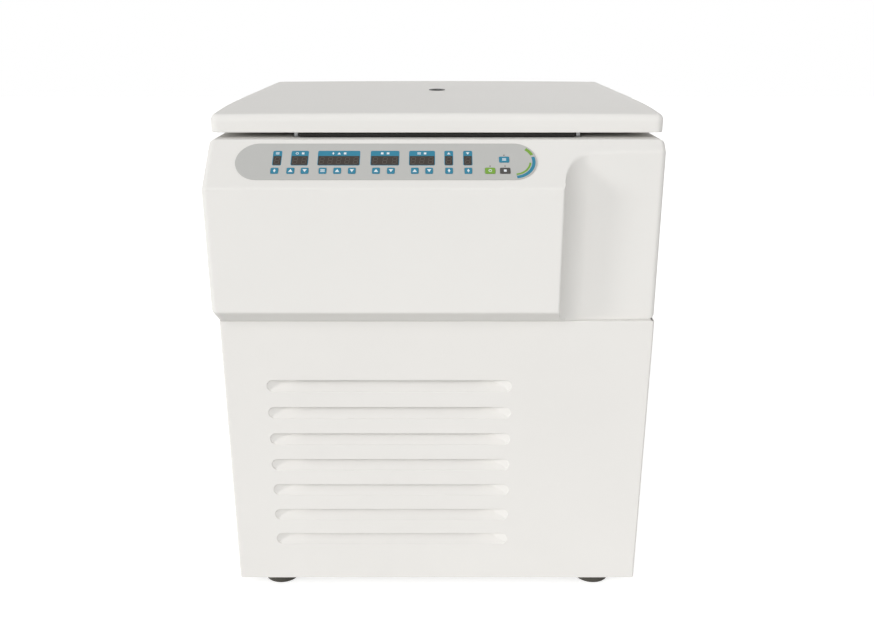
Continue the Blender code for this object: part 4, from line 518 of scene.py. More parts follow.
# name: colour, roughness, metallic, grain scale, bump in metres, roughness swing, colour swing, mottle scale, stretch
LOOKS = {
    "powder_coat": ("casing", 0.56, 0.0, 1300.0, 0.00003, 0.10, 0.025, 5.0, (1, 1, 1)),
    "satin_moulding": ("moulding", 0.54, 0.0, 1600.0, 0.000015, 0.08, 0.020, 4.0, (1, 1, 1)),
    "inner_grey": ("inner", 0.52, 0.0, 1200.0, 0.00003, 0.10, 0.03, 6.0, (1, 1, 1)),
    "panel_print": ("film", 0.42, 0.0, 2600.0, 0.000012, 0.06, 0.02, 30.0, (1, 1, 1)),
    "teal_print": ("teal", 0.38, 0.0, 2600.0, 0.00001, 0.06, 0.04, 60.0, (1, 1, 1)),
    "green_print": ("green", 0.38, 0.0, 2600.0, 0.00001, 0.06, 0.04, 60.0, (1, 1, 1)),
    "dark_print": ("dark", 0.38, 0.0, 2600.0, 0.00001, 0.06, 0.06, 60.0, (1, 1, 1)),
    "window_smoke": ("window", 0.16, 0.0, 900.0, 0.0, 0.05, 0.10, 90.0, (1, 1, 1)),
    "sign_print": ("sign", 0.45, 0.0, 2600.0, 0.0, 0.05, 0.03, 90.0, (1, 1, 1)),
    "idle_segment": ((0.098, 0.087, 0.078), 0.35, 0.0, 1500.0, 0.0, 0.05, 0.10, 300.0, (1, 1, 1)),
    "lamp_off": ((0.10, 0.055, 0.045), 0.22, 0.0, 900.0, 0.0, 0.03, 0.15, 400.0, (1, 1, 1)),
    "foot_rubber": ("foot", 0.62, 0.0, 1500.0, 0.00008, 0.12, 0.14, 60.0, (1, 1, 1)),
    "seal_rubber": ((0.030, 0.029, 0.028), 0.60, 0.0, 1800.0, 0.00006, 0.10, 0.15, 40.0, (1, 1, 1)),
    "black_plastic": ((0.022, 0.022, 0.023), 0.36, 0.0, 2200.0, 0.00002, 0.08, 0.15, 40.0, (1, 1, 1)),
    "black_paint": ((0.030, 0.030, 0.031), 0.40, 0.0, 1300.0, 0.00003, 0.10, 0.12, 20.0, (1, 1, 1)),
    "black_enamel": ((0.028, 0.028, 0.030), 0.30, 0.0, 700.0, 0.00006, 0.12, 0.15, 14.0, (1, 1, 1)),
    "stainless": ((0.62, 0.62, 0.61), 0.28, 1.0, 260.0, 0.00001, 0.16, 0.05, 5.0, (1, 1, 9)),
    "zinc_plate": ((0.56, 0.57, 0.58), 0.38, 1.0, 500.0, 0.00002, 0.18, 0.10, 30.0, (1, 5, 1)),
    "cast_aluminium": ((0.64, 0.65, 0.66), 0.42, 1.0, 900.0, 0.00008, 0.16, 0.08, 25.0, (1, 1, 1)),
    "bucket_steel": ((0.60, 0.61, 0.62), 0.26, 1.0, 420.0, 0.00001, 0.14, 0.06, 12.0, (0.05, 0.05, 4)),
    "copper_tube": ((0.72, 0.36, 0.22), 0.30, 1.0, 300.0, 0.00001, 0.20, 0.16, 45.0, (1, 1, 1)),
    "rigid_foam": ((0.74, 0.66, 0.44), 0.85, 0.0, 420.0, 0.0004, 0.08, 0.12, 25.0, (1, 1, 1)),
    "fin_pack": ((0.50, 0.51, 0.52), 0.45, 1.0, 640.0, 0.0002, 0.15, 0.20, 60.0, (9, 0.1, 0.1)),
    "screw_steel": ((0.58, 0.58, 0.57), 0.30, 1.0, 700.0, 0.00001, 0.15, 0.06, 90.0, (1, 1, 1)),
}


# Specular level of all that isn't metal, and the turning marks' scale on turned metals
PAINT_SPECULAR = 0.12
TURNED_MARKS = {"stainless": 900.0, "cast_aluminium": 500.0}


def grain_node(tree, place, scales):
    """A node of the grain group on a vector."""
    return add_node(
        tree, "ShaderNodeGroup", scales, {"Vector": place}, node_tree=shared_group("surface_grain", grain_group)
    )


def glass(tree, shader, place):
    """Smoked glass of the sight port, with faint smears in its roughness."""
    shader.inputs["Base Color"].default_value = (0.10, 0.12, 0.12, 1)
    shader.inputs["Transmission Weight"].default_value = 0.55
    shader.inputs["IOR"].default_value = 1.5
    grain = grain_node(tree, place, {"Mottle scale": 160.0})
    spread = add_node(
        tree, "ShaderNodeMapRange", {"To Min": 0.03, "To Max": 0.12}, {"Value": grain.outputs["Mottle"]}
    )
    tree.links.new(spread.outputs[0], shader.inputs["Roughness"])


def board(tree, shader, place):
    """Circuit board: green solder mask, with brighter copper runs where a brick pattern's mortar is."""
    runs = add_node(
        tree, "ShaderNodeTexBrick",
        {
            "Scale": 60.0, "Mortar Size": 0.03, "Mortar": (0.06, 0.26, 0.12, 1),
            "Color1": (0.015, 0.11, 0.05, 1), "Color2": (0.020, 0.14, 0.06, 1),
        },
        {"Vector": place},
    )
    relief = add_node(tree, "ShaderNodeBump", {"Distance": 0.00005}, {"Height": runs.outputs["Fac"]})
    tree.links.new(runs.outputs["Color"], shader.inputs["Base Color"])
    tree.links.new(relief.outputs[0], shader.inputs["Normal"])
    shader.inputs["Roughness"].default_value = 0.35


SPECIAL = {"clear_glass": glass, "board_tracks": board}


def material(name):
    """The procedural material of that name, made once.

    Object coordinates, stretched by a Mapping node, feed the grain group. Its mottle mixes two shades of the colour,
    mottle and grain together swing the roughness, and the grain's height feeds a Bump node. Turned metals take that
    height from the turning marks instead.
    """
    known = bpy.data.materials.get(name)
    if known:
        return known
    made = bpy.data.materials.new(name)
    made.use_nodes = True
    tree = made.node_tree
    shader = tree.nodes["Principled BSDF"]
    place = add_node(tree, "ShaderNodeTexCoord").outputs["Object"]
    if name in SPECIAL:
        SPECIAL[name](tree, shader, place)
        return made
    tone, rough, metallic, scale, bump, rough_swing, swing, mottle_scale, stretch = LOOKS[name]
    if isinstance(tone, str):
        tone = tuple(getattr(bpy.context.scene.centrifuge_colours, tone))
    shader.inputs["Metallic"].default_value = metallic
    shader.inputs["Specular IOR Level"].default_value = 0.5 if metallic else PAINT_SPECULAR
    mapping = add_node(tree, "ShaderNodeMapping", {"Scale": stretch}, {"Vector": place})
    grain = grain_node(tree, mapping.outputs[0], {"Grain scale": scale, "Mottle scale": mottle_scale})
    mix = add_node(
        tree, "ShaderNodeMix",
        {"A": (*[c * (1 - swing) for c in tone], 1), "B": (*[min(c * (1 + swing), 1) for c in tone], 1)},
        {"Factor": grain.outputs["Mottle"]}, data_type="RGBA",
    )
    tree.links.new(mix.outputs["Result"], shader.inputs["Base Color"])
    both = add_node(
        tree, "ShaderNodeMath", links={0: grain.outputs["Mottle"], 1: grain.outputs["Grain"]}, operation="ADD"
    )
    reach = {"To Min": max(rough - rough_swing / 2, 0.02), "To Max": rough + rough_swing / 2}
    spread = add_node(
        tree, "ShaderNodeMapRange", {"From Min": 0.6, "From Max": 1.4, **reach}, {"Value": both.outputs[0]}
    )
    tree.links.new(spread.outputs[0], shader.inputs["Roughness"])
    height = grain.outputs["Grain"]
    if name in TURNED_MARKS:
        centre = add_node(tree, "ShaderNodeMapping", {"Location": (0, -ROTOR_Y, 0)}, {"Vector": place})
        rings = add_node(
            tree, "ShaderNodeGroup", {"Scale": TURNED_MARKS[name]}, {"Vector": centre.outputs[0]},
            node_tree=shared_group("turning_marks", rings_group),
        )
        height = rings.outputs["Marks"]
    if bump:
        relief = add_node(tree, "ShaderNodeBump", {"Strength": 1.0, "Distance": bump}, {"Height": height})
        tree.links.new(relief.outputs[0], shader.inputs["Normal"])
    return made


FEET = ("foot_front_left", "foot_front_right", "foot_rear_left", "foot_rear_right")
NODE_FINISHES = {
    "powder_coat": ("rear_panel",),
    "inner_grey": ("base_plate", "motor_plate"),
    "stainless": ("chamber_bowl",),
    "zinc_plate": (
        "lid_hinge_frame", "lid_striker_bar", "hinge_bracket", "hinge_shaft", "lock_bolt_left",
        "lock_bolt_right", "drive_shaft",
    ),
    "cast_aluminium": ("rotor_yoke", "rotor_nut", "drive_electronics"),
    "bucket_steel": ("bucket_1", "bucket_2", "bucket_3", "bucket_4"),
    "seal_rubber": ("chamber_gasket", "motor_isolator"),
    "foot_rubber": FEET,
    "black_paint": ("lock_unit", "fan_shroud"),
    "black_enamel": ("drive_motor", "compressor"),
    "copper_tube": ("evaporator_coil", "discharge_line"),
    "fin_pack": ("condenser_core",),
    "rigid_foam": ("chamber_insulation",),
    "board_tracks": ("control_board",),
    "black_plastic": ("power_inlet", "power_rocker", "condenser_fan"),
}


class CENTRIFUGE_OT_node_finishes(bpy.types.Operator):
    """Give the CAD nodes that stay in view their procedural finishes"""

    bl_idname = "centrifuge.node_finishes"
    bl_label = "Finishes of the inner parts"

    def execute(self, context):
        for finish, names in NODE_FINISHES.items():
            for name in names:
                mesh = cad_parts[name].data
                mesh.materials.clear()
                mesh.materials.append(material(finish))
        return {"FINISHED"}


# Lid


def lid_top(shape, low, high, x, y):
    """Height of the lid's top.

    It falls by drop times (1 - share) squared over the roll's length, and by crown times the square of the share of
    the half width.
    """
    share = np.clip((y - low[1]) / shape.lid_roll, 0, 1)
    side = x / high[0]
    return high[2] - shape.lid_drop * (1 - share) ** 2 - shape.lid_crown * side**2


NOTCH_HALF = 0.0183
NOTCH_TOP = 0.7705


class CENTRIFUGE_OT_lid_cover(bpy.types.Operator):
    """Make the rolled lid moulding, with its two hinge notches and the hole of the sight port"""

    bl_idname = "centrifuge.lid_cover"
    bl_label = "Lid moulding"

    def execute(self, context):
        shape = context.scene.centrifuge_shape
        low, high = span("lid_shell")
        port = middle_of("sight_bezel")[:2]
        step = 0.0008
        chamfer = 0.0006
        edges = [s * HINGE_X + t * NOTCH_HALF for s in (-1, 1) for t in (-1, 1)]
        along_x = np.unique(np.concatenate([np.linspace(low[0], high[0], 41), edges]))
        along_y = np.linspace(low[1], high[1], 49)
        outline, normal = round_rect(low[0], high[0], low[1], high[1], shape.lid_corner, 10, along_x, along_y)
        forward = np.maximum(-normal[:, 1], 0)
        drop = shape.lid_edge + (shape.lid_front_edge - shape.lid_edge) * forward
        turn = np.linspace(0, PI / 2, 13)[:, None]
        inset = shape.lid_edge * (1 - np.cos(turn))
        edge = outline[None] - normal[None] * inset[..., None]
        edge_z = lid_top(shape, low, high, edge[..., 0], edge[..., 1]) - drop * (1 - np.sin(turn))
        wall_z = np.stack([low[2] + step + 0 * drop, np.minimum(NOTCH_TOP, edge_z[0] - step)])
        foot = outline - normal * chamfer
        angles = np.arctan2(*(outline - port).T[::-1])
        hole = port + PORT_HOLE * np.stack([np.cos(angles), np.sin(angles)], -1)
        share = np.linspace(0, 1, 34)[1:, None, None] ** 0.9
        top = edge[-1][None] * (1 - share) + hole[None] * share
        top_z = lid_top(shape, low, high, top[..., 0], top[..., 1])
        plan = np.concatenate([foot[None], np.repeat(outline[None], 2, 0), edge, top])
        rise = np.concatenate([np.full((1, len(outline)), low[2]), wall_z, edge_z, top_z])
        points = np.concatenate([plan, rise[..., None]], -1)

        def keep(at):
            within = np.abs(np.abs(at[:, 0]) - HINGE_X) < NOTCH_HALF
            return ~(within & (at[:, 1] > high[1] - 2 * chamfer) & (at[:, 2] < NOTCH_TOP))

        piece(
            "lid_cover", [grid(points, close_cols=True, keep=keep)], ["satin_moulding"], "lid", "lid_shell",
            wall=shape.wall, inner=(0, 0.03, 0.70), even=False,
        )
        return {"FINISHED"}


def screw_heads(spots, axis, radius=0.0035, rise=0.0018):
    """Pan heads with a recess: a dome profile turned about each spot, dished in its middle."""
    shares = [(0, 0), (1, 0), (1, 0.35), (0.86, 0.78), (0.5, 1), (0.42, 0.5), (0, 0.42)]
    profile = np.array(shares) * (radius, rise)
    on = np.array(axis, float)
    side = np.cross(on, (0.3, 0.5, 0.8))
    side /= np.linalg.norm(side)
    matrix = np.stack([side, np.cross(on, side), on], -1)
    return [moved(turned(profile, (0, 0, 0), 14), matrix, spot) for spot in spots]


class CENTRIFUGE_OT_lid_inside(bpy.types.Operator):
    """Make the lid's inner panel with its pressed dish and its screws, and a dark strip along the front that paints
    the shade in the gap under the lid
    """

    bl_idname = "centrifuge.lid_inside"
    bl_label = "Lid inside"

    def execute(self, context):
        low, high = span("lid_liner")
        port = middle_of("sight_bezel")[:2]
        outline, _ = round_rect(
            low[0], high[0], low[1], high[1], 0.0085, 8,
            np.linspace(low[0], high[0], 30), np.linspace(low[1], high[1], 26),
        )
        angles = np.arctan2(*(outline - port).T[::-1])
        way = np.stack([np.cos(angles), np.sin(angles)], -1)
        radii = np.array([0.205, 0.199, 0.1975, 0.196, 0.1945, 0.193, 0.1915, 0.190, 0.188, 0.15, 0.08, PORT_HOLE])
        rings = port + radii[:, None, None] * way[None]
        far = outline[None] * 0.5 + rings[:1] * 0.5
        plan = np.concatenate([outline[None], far, rings])
        reach = np.linalg.norm(plan - port, axis=-1)
        dish = 0.0016 * smoothstep((0.198 - reach) / 0.009) * (reach > 0.02)
        points = np.concatenate([plan, (low[2] - dish)[..., None]], -1)
        piece(
            "lid_inner_panel", [grid(points, close_cols=True)], ["satin_moulding"], "lid", "lid_liner",
            wall=high[2] - low[2] - 0.0002, inner=(0, 0.03, 0.80), even=False,
        )
        spots = [(x, y, low[2]) for x in (low[0] + 0.018, high[0] - 0.018) for y in (-0.235, -0.09, 0.14, 0.285)]
        spots += [(x, y, low[2]) for x in (-0.12, 0.12) for y in (low[1] + 0.012, high[1] - 0.010)]
        piece("lid_screws", screw_heads(spots, (0, 0, -1)), ["screw_steel"], "lid")
        # A strip of dark seal rubber under the lid's front: painted shade that darkens the middle of the gap under the
        # lid
        strip, own = round_rect(-0.205, 0.205, low[1] + 0.004, low[1] + 0.012, 0.003, 5)
        levels = [(0.0, low[2]), (0.0, low[2] - 0.0055), (0.0012, low[2] - 0.0070), (0.0030, low[2] - 0.0074)]
        piece(
            "lid_front_seal", [slab(LEVEL, strip, levels, normals=own)], ["seal_rubber"], "lid",
        )
        return {"FINISHED"}


class CENTRIFUGE_OT_sight_port(bpy.types.Operator):
    """Make the sight port: a turned ring with a dished rim, and its glass"""

    bl_idname = "centrifuge.sight_port"
    bl_label = "Sight port"

    def execute(self, context):
        low, high = span("sight_bezel")
        centre = middle_of("sight_bezel") * (1, 1, 0)
        top = high[2]
        outer = high[0]
        glass_low, glass_high = span("sight_glass")
        corners = [
            (0.0088, low[2]), (0.0118, low[2]), (0.0118, top - 0.0012), (outer, top - 0.0012),
            (outer, top, 0.0009), (0.0103, top, 0.0009), (0.0100, top - 0.0035), (0.0088, top - 0.0040),
        ]
        piece(
            "sight_ring", [turned(fillet(corners, 5), centre, 72, closed=True)], ["black_plastic"], "lid",
            "sight_bezel",
        )
        radius = glass_high[0] - 0.0001
        rim = np.linspace(0, 1, 7)
        bulge = 0.0006
        dome_z = glass_high[2] - bulge + bulge * np.sin(rim * PI / 2)
        dome = np.stack([radius * np.cos(rim * PI / 2), dome_z], -1)
        dome[-1, 0] = 0.0
        lens = np.vstack([[(0.0, glass_low[2]), (radius, glass_low[2])], dome])
        piece("sight_lens", [turned(lens, centre, 64)], ["clear_glass"], "lid", "sight_glass")
        return {"FINISHED"}


# Front moulding

RECESS_Y = -0.308
COVE_END_X = 0.2225
NOSE = 0.004
RECESS_LEAN = 0.0070


def cove_path(left, right, front, back):
    """Plan outline of the front from left to right as (x, y).

    The bulge's front ends in a small round, then a quarter circle of radius back - front sweeps in to the recess.
    """
    radius = back - front
    start = np.arcsin(NOSE / radius)
    begin_x = COVE_END_X - radius * np.cos(start)
    turn = np.linspace(-PI / 2, 0, 7)
    nose_arc = np.stack([begin_x - NOSE + NOSE * np.cos(turn), front + NOSE + NOSE * np.sin(turn)], -1)
    sweep = np.linspace(PI - start, PI / 2, 34)
    cove = np.stack([COVE_END_X + radius * np.cos(sweep), front + radius * np.sin(sweep)], -1)
    flats = np.array([(left, front), (0.0, front)])
    return np.vstack([flats, nose_arc, cove[1:], [(0.27, back + 0.002), (right, back + 0.004)]])


class CENTRIFUGE_OT_front_moulding(bpy.types.Operator):
    """Make the moulded front: its side outline carried across, behind the plan outline of bulge, cove and recess"""

    bl_idname = "centrifuge.front_moulding"
    bl_label = "Front moulding"

    def execute(self, context):
        shape = context.scene.centrifuge_shape
        low, high = span("fascia")
        front = low[1]
        # The side outline as (y, z, radius), from the undercut's rear up over the bulge and the slope to the deck
        corners = np.array([
            (high[1], low[2], 0), (-0.3155, low[2], 0.0015), (front, 0.504, 0.006), (front, SLOPE_FOOT_Z, 0.005),
            (-0.282, high[2], 0.005), (high[1], high[2], 0),
        ])
        mitre = -normals_of(corners[:, :2], closed=False)
        mitre[[0, -1]] = [(0, -1), (0, 1)]

        def side_outline(inset):
            ring = corners[:, :2] - mitre * inset
            return fillet([(a, b, max(r - inset, 0.0003)) for (a, b), r in zip(ring, corners[:, 2])], 9)

        side = side_outline(0.0)
        way = np.concatenate([[0], np.cumsum(np.linalg.norm(np.diff(side, axis=0), axis=1))])
        fine = np.arange(0, way[-1], 0.0012)
        slope_part = np.abs(np.interp(fine, way, side[:, 1]) - 0.710) < 0.030
        marks = np.unique(np.concatenate([way, fine[slope_part], fine[::9]]))
        share = np.interp(marks, way, np.arange(len(way)))
        part = np.minimum(share.astype(int), len(way) - 2)
        share = (share - part)[:, None]
        plan = cove_path(low[0], high[0], front, RECESS_Y)
        ease = shape.body_edge
        turn = np.linspace(0, PI / 2, 9)
        left_x = low[0] + ease * (1 - np.cos(turn))
        right_x = high[0] - ease * (1 - np.cos(turn[::-1]))
        x = np.concatenate([left_x, plan[1:-1, 0], right_x])
        deep = np.concatenate([np.full(9, front), plan[1:-1, 1], np.full(9, plan[-1, 1])])
        inset = np.concatenate([ease * (1 - np.sin(turn)), np.zeros(len(plan) - 2), ease * (1 - np.sin(turn[::-1]))])
        blend = shape.crease * np.clip((deep - front) / 0.006, 0, 1)
        rings = np.stack([side_outline(d) for d in inset])
        path = rings[:, part] * (1 - share) + rings[:, part + 1] * share
        lean = RECESS_LEAN * (path[..., 1] - low[2]) / (high[2] - low[2])
        limit = (deep + inset)[:, None] + lean * np.clip((deep[:, None] - front) / (RECESS_Y - front), 0, 1)
        y = np.where(deep[:, None] > front + 1e-6, soft_max(path[..., 0], limit, blend[:, None]), path[..., 0])
        y = np.minimum(y, high[1])
        points = np.stack([x[:, None] + 0 * y, y, path[..., 1]], -1)
        rows, cols = points.shape[:2]
        flat, faces, mark = grid(points)
        ends = np.array([np.arange(cols), (rows - 1) * cols + np.arange(cols)])
        piece(
            "front_moulding", [(flat, faces + [ends], mark)], ["satin_moulding"], "root", "fascia",
            wall=shape.wall, inner=(0, -0.22, 0.61), even=False, sharp=24,
        )
        return {"FINISHED"}


# Casings

WELL_RADIUS = 0.2077
STRIKER_X = 0.21


class CENTRIFUGE_OT_upper_casing(bpy.types.Operator):
    """Make the folded upper casing: deck with the round well and the striker slots, and both sides"""

    bl_idname = "centrifuge.upper_casing"
    bl_label = "Upper casing"

    def execute(self, context):
        shape = context.scene.centrifuge_shape
        low, high = span("upper_housing")
        ease = shape.body_edge
        well = circle(0, ROTOR_Y, WELL_RADIUS, 128)
        slots = [round_rect(x - 0.005, x + 0.005, -0.252, -0.218, 0.002, 4)[0] for x in (-STRIKER_X, STRIKER_X)]
        deck = np.array([
            (low[0] + ease, low[1]), (high[0] - ease, low[1]), (high[0] - ease, high[1]), (low[0] + ease, high[1]),
        ])
        patches = [holed(LEVEL, deck, [well] + slots, high[2])]
        for side in (-1, 1):
            wide = side * high[0]
            arc = fillet([(wide, low[2]), (wide, high[2], ease), (wide - side * ease, high[2])], 8)
            patches.append(extruded(arc, (low[1], high[1]), (0, 2, 1)))
        lip_z = high[2] - np.linspace(0, 0.004, 5)[:, None]
        patches.append(grid(lay(LEVEL, well[:, 0], well[:, 1], lip_z), close_cols=True))
        piece(
            "upper_casing", patches, ["powder_coat"], "root", "upper_housing",
            wall=shape.sheet, inner=(0, 0.04, 0.55), even=False,
        )
        return {"FINISHED"}


# Louvres: the heights of their middles, their middle across, half their length and height, the run and depth of the
# steep wall behind the lip, and the vent in that wall: its depths, its reach below the top, the closed ends' length
LOUVRES = (0.373, 0.3275, 0.282, 0.2365, 0.191, 0.1455, 0.100)
LOUVRE_X = -0.0745
LOUVRE_HALF = (0.191, 0.011)
LOUVRE_WALL = (0.0010, 0.017)
VENT_DEPTHS = (0.0030, 0.0085)
VENT_REACH = 0.0040
VENT_END = 0.046


def louvre_ring(count=26):
    """Stadium outline about (0, 0) and its outward normals, with points along the straights, close at the ends."""
    half, radius = LOUVRE_HALF
    near = half - radius - np.linspace(0, 0.036, 13)
    along = np.concatenate([-near, np.linspace(-near[-1], near[-1], 9)[1:-1], near])
    return round_rect(-half, half, -radius, radius, radius, count, along, ())


def louvre_scoop(shape, front, height):
    """One pressed louvre.

    Rings step in from the outline: a quarter circle lip, a steep wall, then the leaning floor. A point's depth is the
    smallest of the wall's depth, the lean, which grows from nothing at the lower edge to the full depth at the top,
    and the ramp, which grows with the way in from either end.
    """
    outline, normal = louvre_ring()
    half, radius = LOUVRE_HALF
    run, wall_depth = LOUVRE_WALL
    lip = shape.louvre_lip
    turn = np.linspace(0, PI / 2, 6)
    wall = np.linspace(0, 1, 8)[1:]
    rest = np.array([0.12, 0.25, 0.4, 0.6, 0.8, 1.0])
    floor_in = lip + run + (radius - lip - run) * rest
    inset = np.concatenate([lip * np.sin(turn), lip + run * wall, floor_in])
    down = np.concatenate([lip * (1 - np.cos(turn)), lip + (wall_depth - lip) * wall, np.full(len(rest), wall_depth)])
    path = outline[None] - normal[None] * inset[:, None, None]
    rise = np.clip((path[..., 1] + radius) / (2 * radius), 0, 1)
    lean = shape.louvre_depth * rise
    ramp = shape.louvre_ramp * (half - np.abs(path[..., 0])) + 0.0006
    lean = -soft_max(-lean, -ramp, 0.0012)
    deep = -soft_max(-down[:, None] + 0 * lean, -lean, 0.0014)
    deep = np.maximum(deep, 0)
    deep[0] = 0
    points = np.stack([path[..., 0] + LOUVRE_X, front + deep, path[..., 1] + height], -1)

    def keep(at):
        inner = (at[:, 1] - front > VENT_DEPTHS[0]) & (at[:, 1] - front < VENT_DEPTHS[1])
        high = at[:, 2] > height + radius - VENT_REACH
        return ~(inner & high & (np.abs(at[:, 0] - LOUVRE_X) < half - VENT_END))

    return grid(points, close_cols=True, keep=keep), outline + np.array([LOUVRE_X, height])


class CENTRIFUGE_OT_lower_casing(bpy.types.Operator):
    """Make the folded lower casing with its seven pressed louvres"""

    bl_idname = "centrifuge.lower_casing"
    bl_label = "Lower casing"

    def execute(self, context):
        shape = context.scene.centrifuge_shape
        low, high = span("cabinet_wrap")
        front = low[1]
        ease = 0.004
        standing = plane((0, front, 0), (1, 0, 0), (0, 0, 1), (0, -1, 0))
        scoops = [louvre_scoop(shape, front, z) for z in LOUVRES]
        fold = 0.0012
        top = high[2] - fold
        face = np.array([
            (low[0] + ease, low[2]), (high[0] - ease, low[2]), (high[0] - ease, top), (low[0] + ease, top),
        ])
        flange = fillet([(front, top), (front, high[2], fold), (front + 0.016, high[2])], 5)
        patches = [
            extruded(flange, (low[0] + ease, high[0] - ease), (2, 0, 1)),
            holed(standing, face, [outline for _, outline in scoops], 0.0),
        ]
        patches += [scoop for scoop, _ in scoops]
        for side in (-1, 1):
            wide = side * high[0]
            arc = fillet([(wide, high[1]), (wide, front, ease), (wide - side * ease, front)], 7)
            patches.append(extruded(arc, (low[2], top, high[2]), (0, 1, 2)))
        piece(
            "lower_casing", patches, ["powder_coat"], "root", "cabinet_wrap",
            wall=shape.sheet, inner=(0, 0.0, 0.25), even=False, sharp=40,
        )
        return {"FINISHED"}


# Control panel, in the slope's own lengths: x across and s up the slope

PANEL_LEFT = -0.288
PANEL_WIDTH = 0.431
PANEL_LOW = 0.0148
PANEL_HIGH = 0.0814
FILM_TOP = 0.0010
KEY_TOP = 0.0015
# Each display: its ends as shares of the panel's width, its digits, the first sign of its header
WINDOWS = (
    (0.1230, 0.1531, 1, "bars"), (0.1838, 0.2418, 2, "ring"), (0.2724, 0.4130, 5, "diamond"),
    (0.4478, 0.5434, 3, "square"), (0.5754, 0.6617, 3, "bars"), (0.6926, 0.7220, 1, "up"),
    (0.7550, 0.7856, 1, "down"),
)
WINDOW_LOW = 0.0414
WINDOW_HIGH = 0.0580
HEADER_HIGH = 0.0677
WINDOW_RIM = 0.0009
DIGIT = (0.0058, 0.0112)
PRINT = 0.0001
LAMPS = ((0.8432, 0.0395), (0.8926, 0.0395), (0.8907, 0.0594))
# Each arc of the accent: inner and outer radius, first angle, angle it spans, material number
ACCENT = ((0.0262, 0.0310, -1.45, 1.75, 0), (0.0222, 0.0250, -1.45, 1.35, 1), (0.0262, 0.0310, 0.42, 0.50, 1))
KEY_ROW = 0.0310
ENTER_ROW = 0.0514
SMALL_KEY = 0.0108
WIDE_KEY = 0.0146
KEY_HALF_HEIGHT = 0.0054
TEAL = ("teal_print", "teal_key")
# name: middle as a share of the panel's width, middle up the slope, width, sign, finish, slot
KEYS = {
    "key_program": (0.1334, KEY_ROW, SMALL_KEY, "diamond", *TEAL),
    "key_rotor_up": (0.1861, KEY_ROW, SMALL_KEY, "up", *TEAL),
    "key_rotor_down": (0.2329, KEY_ROW, SMALL_KEY, "down", *TEAL),
    "key_force": (0.2919, KEY_ROW, SMALL_KEY, "bars", *TEAL),
    "key_speed_up": (0.3399, KEY_ROW, SMALL_KEY, "up", *TEAL),
    "key_speed_down": (0.3882, KEY_ROW, SMALL_KEY, "down", *TEAL),
    "key_time_up": (0.4677, KEY_ROW, SMALL_KEY, "up", *TEAL),
    "key_time_down": (0.5165, KEY_ROW, SMALL_KEY, "down", *TEAL),
    "key_temperature_up": (0.5951, KEY_ROW, SMALL_KEY, "up", *TEAL),
    "key_temperature_down": (0.6425, KEY_ROW, SMALL_KEY, "down", *TEAL),
    "key_acceleration": (0.7081, KEY_ROW, SMALL_KEY, "diamond", *TEAL),
    "key_brake": (0.7715, KEY_ROW, SMALL_KEY, "diamond", *TEAL),
    "key_start": (0.8432, KEY_ROW, WIDE_KEY, "ring", "green_print", "green_key"),
    "key_stop": (0.8926, KEY_ROW, WIDE_KEY, "square", "dark_print", "grey_key"),
    "key_enter": (0.8907, ENTER_ROW, WIDE_KEY, "bars", *TEAL),
}


def across(share):
    """x of a share of the panel's width."""
    return PANEL_LEFT + PANEL_WIDTH * share


def key_outline(name, grow=0.0):
    """Rounded outline of a key, with its normals, grown by a gap."""
    share, row, wide, *_ = KEYS[name]
    half = wide / 2 + grow
    tall = KEY_HALF_HEIGHT + grow
    x = across(share)
    return round_rect(x - half, x + half, row - tall, row + tall, 0.0018 + grow, 5)


def sign_patches(kind, x, s, size, low, high, material=0):
    """A small plain sign as closed plates about (x, s)."""
    if kind == "ring":
        return [band(SLOPE, (x, s), 0.27 * size, 0.42 * size, low, high, count=28, material=material)]
    shapes = {
        "up": [[(-0.5, -0.4), (0.5, -0.4), (0.0, 0.45)]],
        "down": [[(-0.5, 0.4), (0.0, -0.45), (0.5, 0.4)]],
        "diamond": [[(-0.30, 0.0), (0.0, -0.55), (0.30, 0.0), (0.0, 0.55)]],
        "square": [[(-0.36, -0.36), (0.36, -0.36), (0.36, 0.36), (-0.36, 0.36)]],
        "bars": [[(-0.5, b - 0.08), (0.5, b - 0.08), (0.5, b + 0.08), (-0.5, b + 0.08)] for b in (-0.3, 0.0, 0.3)],
    }
    return [
        slab(SLOPE, np.array(outline) * size + (x, s), [(0, low), (0, high)], material) for outline in shapes[kind]
    ]


def digit_patches(x, s, low, high):
    """Seven plain bars of an unlit digit: three across and four upright, each a long hexagon, leaning to the right."""
    wide, tall = DIGIT
    thick = wide * 0.15
    lean = np.array([[1, 0.12], [0, 1]])
    rows = np.array([-tall / 2, 0.0, tall / 2])
    bars = [(0.0, row, wide / 2, 0) for row in rows]
    bars += [(a * wide / 2, row, tall / 4, 1) for a in (-1, 1) for row in (-tall / 4, tall / 4)]
    made = []
    for a, b, half, upright in bars:
        half -= thick * 0.35
        hexagon = np.array([
            (-half, 0), (-half + thick / 2, -thick / 2), (half - thick / 2, -thick / 2), (half, 0),
            (half - thick / 2, thick / 2), (-half + thick / 2, thick / 2),
        ])
        if upright:
            hexagon = hexagon[:, ::-1] * np.array([-1, 1])
        path = (hexagon + (a, b)) @ lean.T + (x, s)
        made.append(slab(SLOPE, path, [(0, low), (0, high)]))
    return made


